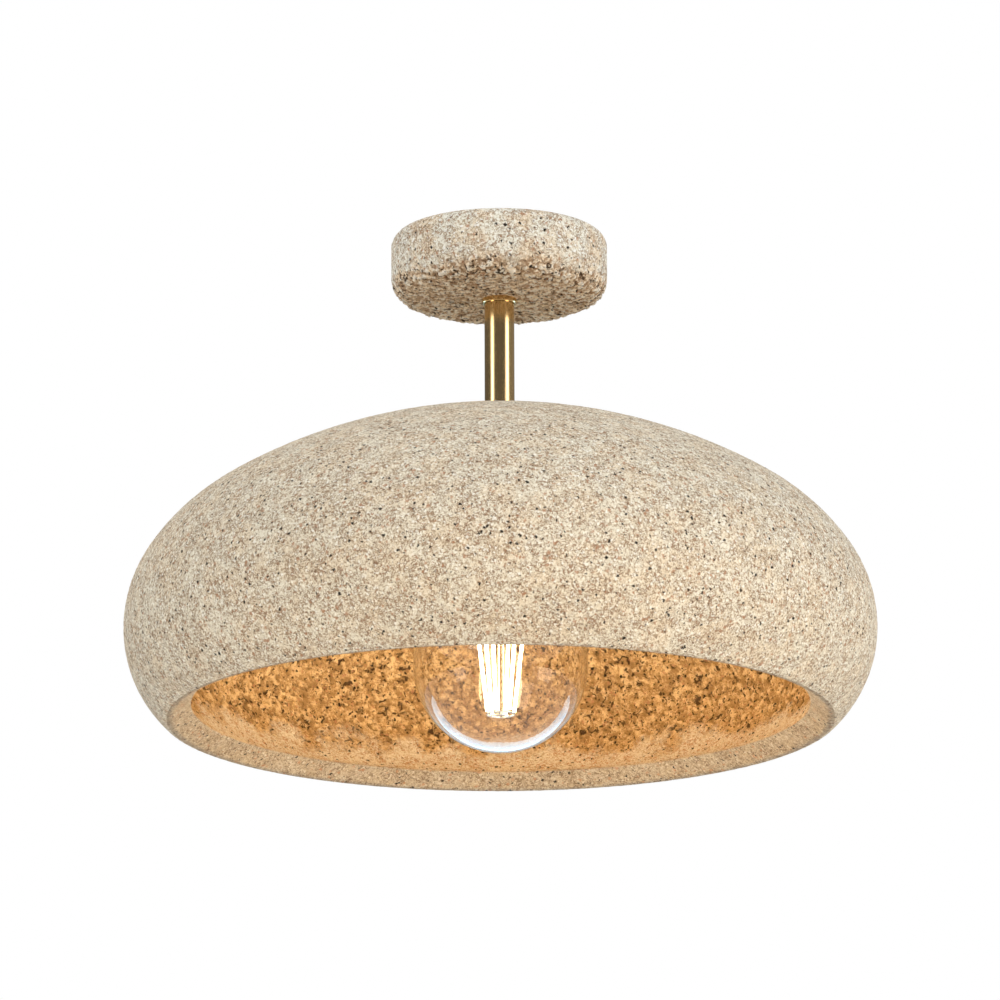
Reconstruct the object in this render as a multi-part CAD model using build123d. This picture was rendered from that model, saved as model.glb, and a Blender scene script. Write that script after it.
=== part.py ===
from build123d import *
import os
from math import asin, atan2, cos, pi, radians, sin, sqrt, tan

# Semi flush ceiling light: a stone canopy cup against the ceiling, a short brass stem, and a
# bowl-shaped stone shade that hangs open side down over a clear globe lamp.
# Millimetres. The ceiling is the plane z = 0, the light hangs below it on the Z axis, and its
# front faces -Y. "above" and "below" in the comments are as it hangs.

# ---- driving dimensions ---------------------------------------------------------------------

# fits, all measured on the radius unless they say otherwise
PRESS_GAP = 0.02        # pressed and screwed-in pieces of one body
LOOSE_GAP = 0.3         # a piece that is dropped in or over another
RUNNING_GAP = 0.1       # the canopy bush on the stem
FACE_GAP = 0.3          # between two pieces that meet but are not clamped
CUT_PAST = 2.0          # how far a cutter runs past the face that it opens

# ceiling bracket, bent from steel strip
STRIP_THICKNESS = 2.0
STRIP_WIDTH = 26.0
STRIP_END_CLEARANCE = 3.0   # from the strip's ends to the canopy's inner wall
JOGGLE_DROP = 8.0       # how far the middle of the strip hangs below its ends
JOGGLE_INNER = 12.0     # the bend starts here, measured from the axis
JOGGLE_OUTER = 18.0     # and ends here
FLANGE_WIDTH = 16.0
FLANGE_BELOW_GRUB = 6.0
SLOT_SPACING = 60.0
SLOT_WIDTH = 4.5
SLOT_LENGTH = 14.0
ARM_WIDTH = 28.0
REAR_ARM_REACH = 32.0
FRONT_ARM_REACH = 28.0
CORNER_RADIUS = 2.5

# M10 hollow rods and what is screwed on them
ROD_RADIUS = 5.0
ROD_WALL = 1.0
NUT_WALL = 2.0
NUT_THICKNESS = 3.0
TOOTH_WASHER_WIDTH = 4.0
TOOTH_WASHER_THICKNESS = 0.8
TOOTH_COUNT = 12
TOOTH_NOTCH_RADIUS = 0.9
NUT_EASE_SHARE = 0.35   # of the nut's thickness, at each of its two chamfers
ROD_EASE = 0.6
ROD_PROUD = 1.2         # how far a rod stands out of its nut
ROD_SHORT_OF_BUSH = 1.0

# stem
STEM_RADIUS = 8.0
STEM_WALL = 1.5
STEM_LENGTH = 90.0
BOTTOM_BUSH_LENGTH = 12.0
WIRE_HOLE_RADIUS = 3.25
WIRE_HOLE_TO_BUSH = 0.75    # brass left between the wire hole and the top bush
WIRE_HOLE_TO_FLANGE = 0.25  # and from the hole down to the canopy bush's flange

# canopy cup, cast stone
CANOPY_RADIUS = 58.0
CANOPY_WALL = 11.0
CANOPY_FLOOR = 9.0
CANOPY_ROOM_UNDER_BLOCK = 4.0
CANOPY_TOP_ROUND = 7.5
CANOPY_BOTTOM_ROUND = 12.0
CANOPY_INNER_ROUND = 4.0

# brass bush in the canopy's centre hole
BUSH_WALL = 1.3
BUSH_PROUD = 2.5        # the ring that shows under the canopy
BUSH_FLANGE_WIDTH = 4.6
BUSH_FLANGE_THICKNESS = 1.5
BUSH_EASE = 0.4

# the two side screws that hold the canopy up
GRUB_RADIUS = 2.0
GRUB_LENGTH = 9.0
GRUB_SOCKET_DEPTH = 2.5
GRUB_SOCKET_FLATS = 2.0
INSERT_RADIUS = 3.25
INSERT_LENGTH = 8.0
GRUB_BELOW_CEILING = 18.0

# shade, cast stone: the outside is four tangent arcs from the crown to the lip
SHADE_RADIUS = 200.0
CROWN_TURN = 32.0       # degrees that each arc turns through
SHOULDER_RADIUS = 114.0
SHOULDER_TURN = 24.75
BELLY_RADIUS = 68.5
BELLY_TURN = 41.6
UNDER_RADIUS = 65.6
UNDER_TURN = 38.25
SHADE_WALL = 14.0
LIP_NOSE_RADIUS = 4.9
LIP_NOSE_TURN = 80.0
LIP_COVE_RADIUS = 15.0  # the smooth cove just inside the mouth
LIP_COVE_TURN = 26.0
SHADE_HOLE_CLEARANCE = 1.0
SEAT_DEPTH = 0.4        # flat seats are cut into the crown by this much
SEAT_MARGIN = 1.0

# clamp stack at the crown
WASHER_RADIUS = 15.0
CROWN_WASHER_THICKNESS = 1.5
GASKET_THICKNESS = 1.5
CLAMP_WASHER_THICKNESS = 1.8

# lamp holder
HOLDER_RADIUS = 20.0
HOLDER_SKIN = 1.2
HOLDER_NECK_WALL = 2.5
HOLDER_NECK_SHOWN = 4.5
HOLDER_NECK_LENGTH = 9.0
HOLDER_DOME_HEIGHT = 7.0
HOLDER_CAP_HEIGHT = 23.0
HOLDER_BODY_LENGTH = 26.0
HOLDER_SPIGOT_LENGTH = 7.0
HOLDER_LIP_THICKNESS = 2.0
HOLDER_MOUTH_CLEARANCE = 1.2
HOLDER_SPIGOT_WALL = 1.86
HOLDER_LEDGE_THICKNESS = 2.0    # the ledge that the porcelain insert rests on
HOLDER_GRUB_RADIUS = 1.5
HOLDER_GRUB_SOCKET_FLATS = 1.5
HOLDER_GRUB_SOCKET_DEPTH = 1.2
INSERT_THICKNESS = 7.0
INSERT_BELOW_ROD = 7.5
INSERT_CHAMFER = 0.5
SHELL_THICKNESS = 0.6
SHELL_LENGTH = 24.0
SHELL_FLANGE_WIDTH = 3.5
TONGUE_THICKNESS = 0.5
TONGUE_WIDTH = 6.0
TONGUE_BOW = 1.7
TONGUE_AT_STUD = 4.0    # the flat length round the stud
TONGUE_AT_LAMP = 5.0    # and where the lamp touches it
TONGUE_TIP_X = 5.0
TONGUE_TIP_RISE = 0.8
TERMINAL_LENGTH = 7.0
TERMINAL_HEIGHT = 3.5
TERMINAL_START = 6.5
TERMINAL_BORE_DEPTH = 4.5
TERMINAL_SCREW_RADIUS = 1.25
TERMINAL_SCREW_HEAD = 1.5
TERMINAL_HEAD_RADIUS = 2.4
TERMINAL_SLOT_WIDTH = 0.6
TERMINAL_SLOT_DEPTH = 0.7
TERMINAL_STUD_RADIUS = 1.2
SHELL_STUD_AT = 12.0
TONGUE_STUD_AT = 7.5

# E27 lamp with a 93 mm clear globe
THREAD_PITCH = 25.4 / 7
THREAD_CREST = 13.15
THREAD_DEPTH = 1.0
THREAD_CREST_GAP = 0.25
THREAD_START_BELOW_TIP = 6.6
THREAD_TURNS = 3.6
HOLDER_THREAD_TURNS = 2.6
HOLDER_THREAD_DEPTH = 0.65
RIDGE_ROOT_WIDTH = 2.7      # the lamp's ridge, at its root and at its crest
RIDGE_CREST_WIDTH = 0.9
HOLDER_RIDGE_ROOT_WIDTH = 2.2
HOLDER_RIDGE_CREST_WIDTH = 0.7
LAMP_SHEET = 0.6
CONTACT_RADIUS = 4.6
CONTACT_THICKNESS = 1.2
CONTACT_ROUND = 0.6
CONTACT_SUNK = 0.4      # how deep the contact sits in the insulator
INSULATOR_HEIGHT = 5.0
INSULATOR_IN_SHELL = 1.0
INSULATOR_LAND = 1.0    # the flat round the contact
SHELL_EDGE_IN = 0.2     # the chamfer at the screw shell's top edge
SHELL_EDGE_DOWN = 0.5
SKIRT_RADIUS = 13.1
SKIRT_LENGTH = 4.0
LAMP_CAP_LENGTH = 27.0
LAMP_LENGTH = 136.4
GLOBE_RADIUS = 46.5
GLOBE_NECK_RADIUS = 15.0
GLOBE_NECK_BLEND = 16.0
GLASS = 1.0
MOUNT_FLARE_BELOW_CAP = 8.0
MOUNT_FLARE_DOME = 3.0      # heights along the flare, all down from its top
MOUNT_FLARE_RIM = 4.0
MOUNT_FLARE_WAIST = 6.0
MOUNT_FLARE_WAIST_SHARE = 0.25
MOUNT_FLARE_LENGTH = 10.0
MOUNT_TUBE_RADIUS = 4.5
MOUNT_TUBE_LENGTH = 26.0
MOUNT_TAPER = 4.0
MOUNT_ROD_RADIUS = 1.6
MOUNT_ROD_PAST_FILAMENTS = 0.5
FILAMENT_COUNT = 6
FILAMENT_PHASE = 10.0
FILAMENT_RADIUS = 0.9
FILAMENT_TOP_CIRCLE = 13.0
FILAMENT_BOTTOM_CIRCLE = 7.2
FILAMENT_ABOVE_GLOBE_BOTTOM = 21.5
FILAMENT_RISE = 49.0
FRAME_WIRE_RADIUS = 0.5
DRIVER_ABOVE_THREAD = 1.0
DRIVER_RADIUS = 10.0
DRIVER_THICKNESS = 1.2
DRIVER_TAB_WIDTH = 3.0
CAPACITOR_RADIUS = 3.5
CAPACITOR_HEIGHT = 7.0
CAPACITOR_AT = (2.0, 3.0)
CHIP_X = (-6.0, -2.0)
CHIP_Y = (-6.0, -3.0)
CHIP_HEIGHT = 1.4

# terminal block and wiring
POLE_PITCH = 9.0
BLOCK_DEPTH = 16.0
BLOCK_HEIGHT = 13.0
BLOCK_START = 15.0      # how far behind the axis its front face is
BLOCK_SIDE = 0.6
BLOCK_ROUND = 1.2
CLAMP_RADIUS = 2.7
CLAMP_BORE_RADIUS = 1.6
CLAMP_LENGTH = 13.0
CLAMP_SCREW_RADIUS = 1.4
CLAMP_SCREW_SPACING = 8.0
CLAMP_SCREW_SUNK = 0.6
CLAMP_SLOT_WIDTH = 0.6
CLAMP_SLOT_DEPTH = 0.8
BLOCK_SCREW_RADIUS = 1.5
BLOCK_SCREW_PROUD = 1.0
BLOCK_HEAD_RADIUS = 2.7
BLOCK_HEAD_HEIGHT = 1.6
BLOCK_SLOT_SIZE = 0.7   # both its width and its depth
EARTH_SCREW_RADIUS = 2.0
EARTH_SCREW_AT = (11.0, -22.0)
EARTH_HEAD_RADIUS = 4.0
EARTH_HEAD_HEIGHT = 2.4
EARTH_HEAD_ROUND = 0.8
EARTH_SHANK_PROUD = 1.5
EARTH_CROSS_LENGTH = 4.0
EARTH_CROSS_WIDTH = 0.9
EARTH_CROSS_DEPTH = 1.0
EARTH_LUG_THICKNESS = 0.8
LUG_NECK_WIDTH = 3.0
LUG_NECK_LENGTH = 2.5
LUG_BARREL_START = 2.0
LUG_BARREL_WALL = 0.5
LUG_BARREL_LENGTH = 5.0
LUG_BARREL_END_WALL = 0.6
WIRE_RADIUS = 1.0
WIRE_IN_CLAMP = 4.0
WIRE_IN_TERMINAL = 2.5
WIRE_IN_LUG = 1.0
WIRE_BEFORE_LUG = 6.0
WIRE_CLEAR_OF_BLOCK = 0.5
EARTH_CLEAR_OF_BLOCK = 2.0
WIRE_SPREAD = 1.15      # how much wider apart the two wires are outside the stem
WIRE_HOLE_SLOPE = 1.0   # they pass through the side hole this much above and below its middle
# the earth wire passes the stem at two places: out from the lug's x, y, and up or down
EARTH_PASS_REAR = (1.5, 4.0, 1.0)
EARTH_PASS_FRONT = (0.5, -4.0, -1.5)
BEND_SHARE = 0.45       # of the shorter run at a bend, that the bend may use up
WIRE_OFFSET = 1.4       # live and neutral lie this far each side of the axis in the stem

# ---- places that follow from the sizes ------------------------------------------------------

STEM_TOP_Z = -(JOGGLE_DROP + STRIP_THICKNESS)
STEM_BOTTOM_Z = STEM_TOP_Z - STEM_LENGTH
STEM_BORE_RADIUS = STEM_RADIUS - STEM_WALL
ROD_BORE_RADIUS = ROD_RADIUS - ROD_WALL
NUT_FLATS = 2 * (ROD_RADIUS + NUT_WALL)
TOOTH_WASHER_RADIUS = ROD_RADIUS + TOOTH_WASHER_WIDTH
CANOPY_BORE_RADIUS = CANOPY_RADIUS - CANOPY_WALL
CANOPY_FLOOR_Z = STEM_TOP_Z - BLOCK_HEIGHT - CANOPY_ROOM_UNDER_BLOCK
CANOPY_HEIGHT = CANOPY_FLOOR - CANOPY_FLOOR_Z
STRIP_HALF_LENGTH = CANOPY_BORE_RADIUS - STRIP_END_CLEARANCE
FLANGE_DROP = GRUB_BELOW_CEILING + FLANGE_BELOW_GRUB
BUSH_BORE_RADIUS = STEM_RADIUS + RUNNING_GAP
BUSH_RADIUS = BUSH_BORE_RADIUS + BUSH_WALL
BUSH_FLANGE_RADIUS = BUSH_RADIUS + BUSH_FLANGE_WIDTH
WIRE_HOLE_Z = CANOPY_FLOOR_Z + BUSH_FLANGE_THICKNESS + WIRE_HOLE_TO_FLANGE + WIRE_HOLE_RADIUS
TOP_BUSH_LENGTH = STEM_TOP_Z - (WIRE_HOLE_Z + WIRE_HOLE_RADIUS + WIRE_HOLE_TO_BUSH)
SHADE_HOLE_RADIUS = ROD_RADIUS + SHADE_HOLE_CLEARANCE
CROWN_SEAT_Z = STEM_BOTTOM_Z - CROWN_WASHER_THICKNESS - GASKET_THICKNESS
CROWN_Z = CROWN_SEAT_Z + SEAT_DEPTH
INNER_SEAT_Z = CROWN_Z - SHADE_WALL
CLAMP_WASHER_TOP_Z = INNER_SEAT_Z - GASKET_THICKNESS
CLAMP_NUT_TOP_Z = CLAMP_WASHER_TOP_Z - CLAMP_WASHER_THICKNESS
HOLDER_TOP_Z = CLAMP_NUT_TOP_Z - NUT_THICKNESS - FACE_GAP
HOLDER_CAP_BOTTOM_Z = HOLDER_TOP_Z - HOLDER_CAP_HEIGHT
ROD_BOTTOM_Z = HOLDER_TOP_Z - HOLDER_NECK_LENGTH + ROD_PROUD
INSERT_TOP_Z = ROD_BOTTOM_Z - INSERT_BELOW_ROD
INSERT_BOTTOM_Z = INSERT_TOP_Z - INSERT_THICKNESS
TONGUE_LOW_Z = INSERT_BOTTOM_Z - TONGUE_THICKNESS - TONGUE_BOW
LAMP_TIP_Z = TONGUE_LOW_Z - FACE_GAP
HOLDER_NECK_RADIUS = ROD_RADIUS + HOLDER_NECK_WALL
THREAD_ROOT = THREAD_CREST - THREAD_DEPTH
HOLDER_BORE_RADIUS = THREAD_CREST + THREAD_CREST_GAP
HOLDER_SHELL_RADIUS = HOLDER_BORE_RADIUS + SHELL_THICKNESS
HOLDER_MOUTH_RADIUS = HOLDER_SHELL_RADIUS + HOLDER_MOUTH_CLEARANCE
HOLDER_SPIGOT_RADIUS = HOLDER_RADIUS - HOLDER_SKIN - PRESS_GAP
INSERT_DISC_RADIUS = HOLDER_SPIGOT_RADIUS - HOLDER_SPIGOT_WALL - PRESS_GAP
LAMP_CAP_BOTTOM_Z = LAMP_TIP_Z - LAMP_CAP_LENGTH
GLOBE_BOTTOM_Z = LAMP_TIP_Z - LAMP_LENGTH
GLOBE_Z = GLOBE_BOTTOM_Z + GLOBE_RADIUS
THREAD_TOP_Z = LAMP_TIP_Z - THREAD_START_BELOW_TIP
THREAD_BOTTOM_Z = THREAD_TOP_Z - THREAD_TURNS * THREAD_PITCH
MOUNT_FLARE_Z = LAMP_CAP_BOTTOM_Z - MOUNT_FLARE_BELOW_CAP
FILAMENT_BOTTOM_Z = GLOBE_BOTTOM_Z + FILAMENT_ABOVE_GLOBE_BOTTOM
FILAMENT_TOP_Z = FILAMENT_BOTTOM_Z + FILAMENT_RISE
BLOCK_HALF_WIDTH = 1.5 * POLE_PITCH + BLOCK_SIDE
CLAMP_Z = STEM_TOP_Z - BLOCK_HEIGHT / 2
CLAMP_START = BLOCK_START + (BLOCK_DEPTH - CLAMP_LENGTH) / 2


def shade_crown_radius():
    """The crown arc's radius, which makes the bowl as wide as it should be at its widest."""
    first = sin(radians(CROWN_TURN))
    second = sin(radians(CROWN_TURN + SHOULDER_TURN))
    others = SHOULDER_RADIUS * (second - first) + BELLY_RADIUS * (1 - second)
    return (SHADE_RADIUS - others) / first


# ---- helpers --------------------------------------------------------------------------------


def turned(*lines):
    """A solid turned about the axis from the closed outline that these curves of (radius, z) make."""
    edges = [edge for line in lines for edge in line.edges()]
    return revolve(Plane.XZ * make_face(edges), Axis.Z)


def ring(inner, outer, top, bottom):
    """A plain ring or, with no inner radius, a disc."""
    corners = [(inner, bottom), (outer, bottom), (outer, top), (inner, top)]
    return turned(Polyline(*corners, close=True))


def rod_along(direction, start, radius, length):
    """A round bar from start, along direction."""
    return extrude(Plane(start, z_dir=direction) * Circle(radius), length)


def block(x_low, x_high, y_low, y_high, z_low, z_high):
    """A rectangular block between its limits."""
    centre = ((x_low + x_high) / 2, (y_low + y_high) / 2, (z_low + z_high) / 2)
    return Pos(*centre) * Box(x_high - x_low, y_high - y_low, z_high - z_low)


def hexagon(flats, top, bottom):
    """A hexagonal bar on the axis."""
    outline = RegularPolygon(flats / 2, 6, major_radius=False)
    return extrude(Pos(0, 0, bottom) * outline, top - bottom)


def hex_nut(top):
    """A thin M10 nut, chamfered on both faces."""
    bottom = top - NUT_THICKNESS
    body = hexagon(NUT_FLATS, top, bottom)
    reach = NUT_FLATS / 2
    ease = NUT_EASE_SHARE * NUT_THICKNESS
    corners = [(0, bottom), (reach, bottom), (reach + ease, bottom + ease)]
    corners += [(reach + ease, top - ease), (reach, top), (0, top)]
    body = body & turned(Polyline(*corners, close=True))
    return body - ring(0, ROD_RADIUS + PRESS_GAP, top, bottom)


def hollow_rod(top, bottom):
    """An M10 hollow rod for wires."""
    ease = ROD_EASE
    outer = ROD_RADIUS
    inner = ROD_BORE_RADIUS
    corners = [(inner, bottom), (outer - ease, bottom), (outer, bottom + ease)]
    corners += [(outer, top - ease), (outer - ease, top), (inner, top)]
    return turned(Polyline(*corners, close=True))


def bend_radii(points):
    """The radius at each bend: as large as the two runs that meet there allow."""
    corners = [Vector(*point) for point in points]
    radii = []
    for before, here, after in zip(corners, corners[1:], corners[2:]):
        turn = radians((here - before).get_angle(after - here))
        shorter = min((here - before).length, (after - here).length)
        radii.append(BEND_SHARE * shorter / tan(turn / 2))
    return radii


def wire_along(name, points):
    """A round wire through the points."""
    radii = bend_radii(points)
    print(name, "bend radii", [round(radius, 1) for radius in radii])
    path = FilletPolyline(*points, radius=radii)
    return sweep(Plane(path @ 0, z_dir=path % 0) * Circle(WIRE_RADIUS), path)


def thread_ridge(root, crest, widths, turns, bottom):
    """A right-hand ridge with four corners, wound upwards on the axis from bottom."""
    root_half, crest_half = [width / 2 for width in widths]
    path = Helix(THREAD_PITCH, turns * THREAD_PITCH, root, center=(0, 0, bottom))
    corners = [(root, -root_half), (crest, -crest_half), (crest, crest_half), (root, root_half)]
    face = Plane.XZ * Pos(0, bottom) * make_face(Polyline(*corners, close=True))
    return sweep(face, path, is_frenet=True)


def stone_outline(depth):
    """The shade's four arcs, drawn depth inside its outer face: the edges and the end's direction."""
    radii = [shade_crown_radius(), SHOULDER_RADIUS, BELLY_RADIUS, UNDER_RADIUS]
    turns = [CROWN_TURN, SHOULDER_TURN, BELLY_TURN, UNDER_TURN]
    start = Vector(0, CROWN_Z - depth)
    heading = Vector(1, 0)
    arcs = []
    for radius, turn in zip(radii, turns):
        arc = JernArc(start, heading, radius - depth, -turn)
        arcs.append(arc)
        start = arc @ 1
        heading = arc % 1
    return arcs


def globe_outline(depth):
    """The globe's neck line, neck blend and ball, drawn depth inside the outer face of the glass."""
    neck = GLOBE_NECK_RADIUS - depth
    ball = GLOBE_RADIUS - depth
    blend = GLOBE_NECK_BLEND + depth
    rise = sqrt((ball + blend) ** 2 - (neck + blend) ** 2)
    blend_centre = Vector(neck + blend, GLOBE_Z + rise)
    toward = Vector(neck + blend, rise) * (1 / (ball + blend))
    meet = Vector(0, GLOBE_Z) + toward * ball
    blend_start = Vector(neck, GLOBE_Z + rise)
    middle_angle = (pi + atan2(-toward.Y, -toward.X) % (2 * pi)) / 2
    blend_middle = blend_centre + Vector(cos(middle_angle), sin(middle_angle)) * blend
    neck_arc = ThreePointArc(blend_start, blend_middle, meet)
    side = Vector(ball, GLOBE_Z)
    bottom = Vector(0, GLOBE_Z - ball)
    half = asin(toward.Y) / 2
    upper_middle = Vector(0, GLOBE_Z) + Vector(cos(half), sin(half)) * ball
    lower_middle = Vector(0, GLOBE_Z) + Vector(cos(pi / 4), -sin(pi / 4)) * ball
    upper_ball = ThreePointArc(meet, upper_middle, side)
    lower_ball = ThreePointArc(side, lower_middle, bottom)
    return blend_start, [neck_arc, upper_ball, lower_ball], bottom


def filament_ends():
    """The top and bottom of each filament."""
    ends = []
    for number in range(FILAMENT_COUNT):
        angle = radians(FILAMENT_PHASE + number * 360 / FILAMENT_COUNT)
        out = Vector(cos(angle), sin(angle), 0)
        top = out * FILAMENT_TOP_CIRCLE + Vector(0, 0, FILAMENT_TOP_Z)
        bottom = out * FILAMENT_BOTTOM_CIRCLE + Vector(0, 0, FILAMENT_BOTTOM_Z)
        ends.append((top, bottom))
    return ends


# ---- ceiling bracket and what is screwed to it ----------------------------------------------


def bent_strip():
    """The side view of the bent strip, as wide as the strip."""
    top = [(-STRIP_HALF_LENGTH, 0), (-JOGGLE_OUTER, 0), (-JOGGLE_INNER, -JOGGLE_DROP)]
    top += [(x * -1, z) for x, z in reversed(top)]
    bend_shift = STRIP_THICKNESS / 2
    low = [(STRIP_HALF_LENGTH, -STRIP_THICKNESS)]
    low += [(JOGGLE_OUTER + bend_shift, -STRIP_THICKNESS)]
    low += [(JOGGLE_INNER + bend_shift, STEM_TOP_Z)]
    low += [(x * -1, z) for x, z in reversed(low)]
    outline = make_face(Polyline(*top, *low, close=True))
    strip = extrude(Plane.XZ * outline, STRIP_WIDTH / 2, both=True)
    ends = strip.edges().filter_by(Axis.Z).group_by(lambda edge: abs(edge.center().X))[-1]
    return fillet(ends, CORNER_RADIUS)


def end_flange(side):
    """The flange that is bent down at one end of the strip, for the canopy's screw to press on."""
    outer = side * STRIP_HALF_LENGTH
    inner = side * (STRIP_HALF_LENGTH - STRIP_THICKNESS)
    half = FLANGE_WIDTH / 2
    body = block(min(inner, outer), max(inner, outer), -half, half, -FLANGE_DROP, 0)
    low_edges = body.edges().filter_by(Axis.X).group_by(Axis.Z)[0]
    return fillet(low_edges, CORNER_RADIUS)


def ceiling_bracket():
    """The steel crossbar that is screwed to the ceiling and carries the whole light."""
    arm = block(-ARM_WIDTH / 2, ARM_WIDTH / 2, -FRONT_ARM_REACH, REAR_ARM_REACH, STEM_TOP_Z, -JOGGLE_DROP)
    arm = fillet(arm.edges().filter_by(Axis.Z), CORNER_RADIUS)
    body = bent_strip() + arm + end_flange(-1) + end_flange(1)
    body -= ring(0, ROD_RADIUS + LOOSE_GAP, CUT_PAST, STEM_TOP_Z - CUT_PAST)
    slot = extrude(SlotOverall(SLOT_LENGTH, SLOT_WIDTH), STRIP_THICKNESS * 2, both=True)
    for side in (-1, 1):
        body -= Pos(side * SLOT_SPACING / 2, 0, 0) * slot
    block_screw_x, block_screw_y = block_screw_place()
    for x, y, radius in (
        (*EARTH_SCREW_AT, EARTH_SCREW_RADIUS),
        (block_screw_x, block_screw_y, BLOCK_SCREW_RADIUS),
    ):
        body -= Pos(x, y) * ring(0, radius + PRESS_GAP, CUT_PAST, STEM_TOP_Z - CUT_PAST)
    return body


def top_lock_washer():
    """The toothed washer under the top nut."""
    bottom = -JOGGLE_DROP
    body = ring(ROD_RADIUS + LOOSE_GAP, TOOTH_WASHER_RADIUS, bottom + TOOTH_WASHER_THICKNESS, bottom)
    cutter = ring(0, TOOTH_NOTCH_RADIUS, bottom + CUT_PAST, bottom - CUT_PAST)
    notch = Pos(TOOTH_WASHER_RADIUS, 0, 0) * cutter
    for number in range(TOOTH_COUNT):
        body -= Rot(0, 0, number * 360 / TOOTH_COUNT) * notch
    return body


def top_lock_nut():
    """The nut that hangs the stem from the bracket."""
    return hex_nut(-JOGGLE_DROP + TOOTH_WASHER_THICKNESS + NUT_THICKNESS)


def top_nipple():
    """The short hollow rod that joins the stem to the bracket."""
    top = -JOGGLE_DROP + TOOTH_WASHER_THICKNESS + NUT_THICKNESS + ROD_PROUD
    return hollow_rod(top, STEM_TOP_Z - TOP_BUSH_LENGTH)


def earth_screw():
    """The pan-head screw that clamps the earth lug to the front arm."""
    x, y = EARTH_SCREW_AT
    head_top = STEM_TOP_Z - EARTH_LUG_THICKNESS
    head_low = head_top - EARTH_HEAD_HEIGHT
    head = ring(0, EARTH_HEAD_RADIUS, head_top, head_low)
    head = fillet(head.edges().filter_by(GeomType.CIRCLE).group_by(Axis.Z)[0], EARTH_HEAD_ROUND)
    reach = EARTH_CROSS_LENGTH / 2
    half = EARTH_CROSS_WIDTH / 2
    cross = block(-reach, reach, -half, half, head_low - CUT_PAST, head_low + EARTH_CROSS_DEPTH)
    head -= cross
    head -= Rot(0, 0, 90) * cross
    shank = ring(0, EARTH_SCREW_RADIUS, -JOGGLE_DROP + EARTH_SHANK_PROUD, head_top)
    return Pos(x, y, 0) * (head + shank)


def earth_lug():
    """The tinned ring that the earth wire is crimped in, with its barrel toward the rear."""
    x, y = EARTH_SCREW_AT
    outer = EARTH_HEAD_RADIUS
    top = STEM_TOP_Z
    bottom = top - EARTH_LUG_THICKNESS
    palm = ring(EARTH_SCREW_RADIUS + PRESS_GAP, outer, top, bottom)
    neck_half = LUG_NECK_WIDTH / 2
    neck = block(-neck_half, neck_half, outer - EARTH_LUG_THICKNESS, outer + LUG_NECK_LENGTH, bottom, top)
    barrel_radius = WIRE_RADIUS + LUG_BARREL_WALL
    barrel_z = top - barrel_radius
    barrel_y = outer + LUG_BARREL_START
    barrel = rod_along((0, 1, 0), (0, barrel_y, barrel_z), barrel_radius, LUG_BARREL_LENGTH)
    bore_start = (0, barrel_y + LUG_BARREL_END_WALL, barrel_z)
    barrel -= rod_along((0, 1, 0), bore_start, WIRE_RADIUS + PRESS_GAP, LUG_BARREL_LENGTH)
    return Pos(x, y, 0) * (palm + neck + barrel)


# ---- terminal block -------------------------------------------------------------------------


def pole_places():
    """Where the poles are across the block: live, neutral, earth."""
    return [-POLE_PITCH, 0.0, POLE_PITCH]


def block_screw_place():
    """The block's own screw stands between two poles."""
    return POLE_PITCH / 2, BLOCK_START + BLOCK_DEPTH / 2


def terminal_block():
    """The three-pole block that the supply and the light's own wires meet in."""
    rear = BLOCK_START + BLOCK_DEPTH
    low = STEM_TOP_Z - BLOCK_HEIGHT
    body = block(-BLOCK_HALF_WIDTH, BLOCK_HALF_WIDTH, BLOCK_START, rear, low, STEM_TOP_Z)
    body = fillet(body.edges().filter_by(Axis.Y).group_by(Axis.Z)[0], BLOCK_ROUND)
    for x in pole_places():
        bore_start = (x, BLOCK_START - CUT_PAST, CLAMP_Z)
        bore_length = BLOCK_DEPTH + 2 * CUT_PAST
        body -= rod_along((0, 1, 0), bore_start, CLAMP_RADIUS + PRESS_GAP, bore_length)
        for y in clamp_screw_places():
            body -= Pos(x, y) * ring(0, CLAMP_SCREW_RADIUS + LOOSE_GAP, CLAMP_Z, low - CUT_PAST)
    x, y = block_screw_place()
    body -= Pos(x, y) * ring(0, BLOCK_SCREW_RADIUS + PRESS_GAP, STEM_TOP_Z + CUT_PAST, low - CUT_PAST)
    return body


def clamp_screw_places():
    """How far behind the axis the two screws of each pole are."""
    middle = BLOCK_START + BLOCK_DEPTH / 2
    return [middle - CLAMP_SCREW_SPACING / 2, middle + CLAMP_SCREW_SPACING / 2]


def terminal_clamps():
    """The three brass tubes inside the block."""
    clamps = []
    bore_length = CLAMP_LENGTH + 2 * CUT_PAST
    hole = ring(0, CLAMP_SCREW_RADIUS + PRESS_GAP, CLAMP_Z, CLAMP_Z - CLAMP_RADIUS - CUT_PAST)
    for x in pole_places():
        tube = rod_along((0, 1, 0), (x, CLAMP_START, CLAMP_Z), CLAMP_RADIUS, CLAMP_LENGTH)
        tube -= rod_along((0, 1, 0), (x, CLAMP_START - CUT_PAST, CLAMP_Z), CLAMP_BORE_RADIUS, bore_length)
        for y in clamp_screw_places():
            tube -= Pos(x, y) * hole
        clamps.append(tube)
    return Compound(clamps)


def terminal_screws():
    """The six slotted screws that clamp the wires."""
    screws = []
    radius = CLAMP_SCREW_RADIUS
    half = CLAMP_SLOT_WIDTH / 2
    top = CLAMP_Z - WIRE_RADIUS - RUNNING_GAP
    bottom = STEM_TOP_Z - BLOCK_HEIGHT + CLAMP_SCREW_SUNK
    slot = block(-radius, radius, -half, half, bottom, bottom + CLAMP_SLOT_DEPTH)
    screw = ring(0, radius, top, bottom) - slot
    for x in pole_places():
        for y in clamp_screw_places():
            screws.append(Pos(x, y, 0) * screw)
    return Compound(screws)


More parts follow.
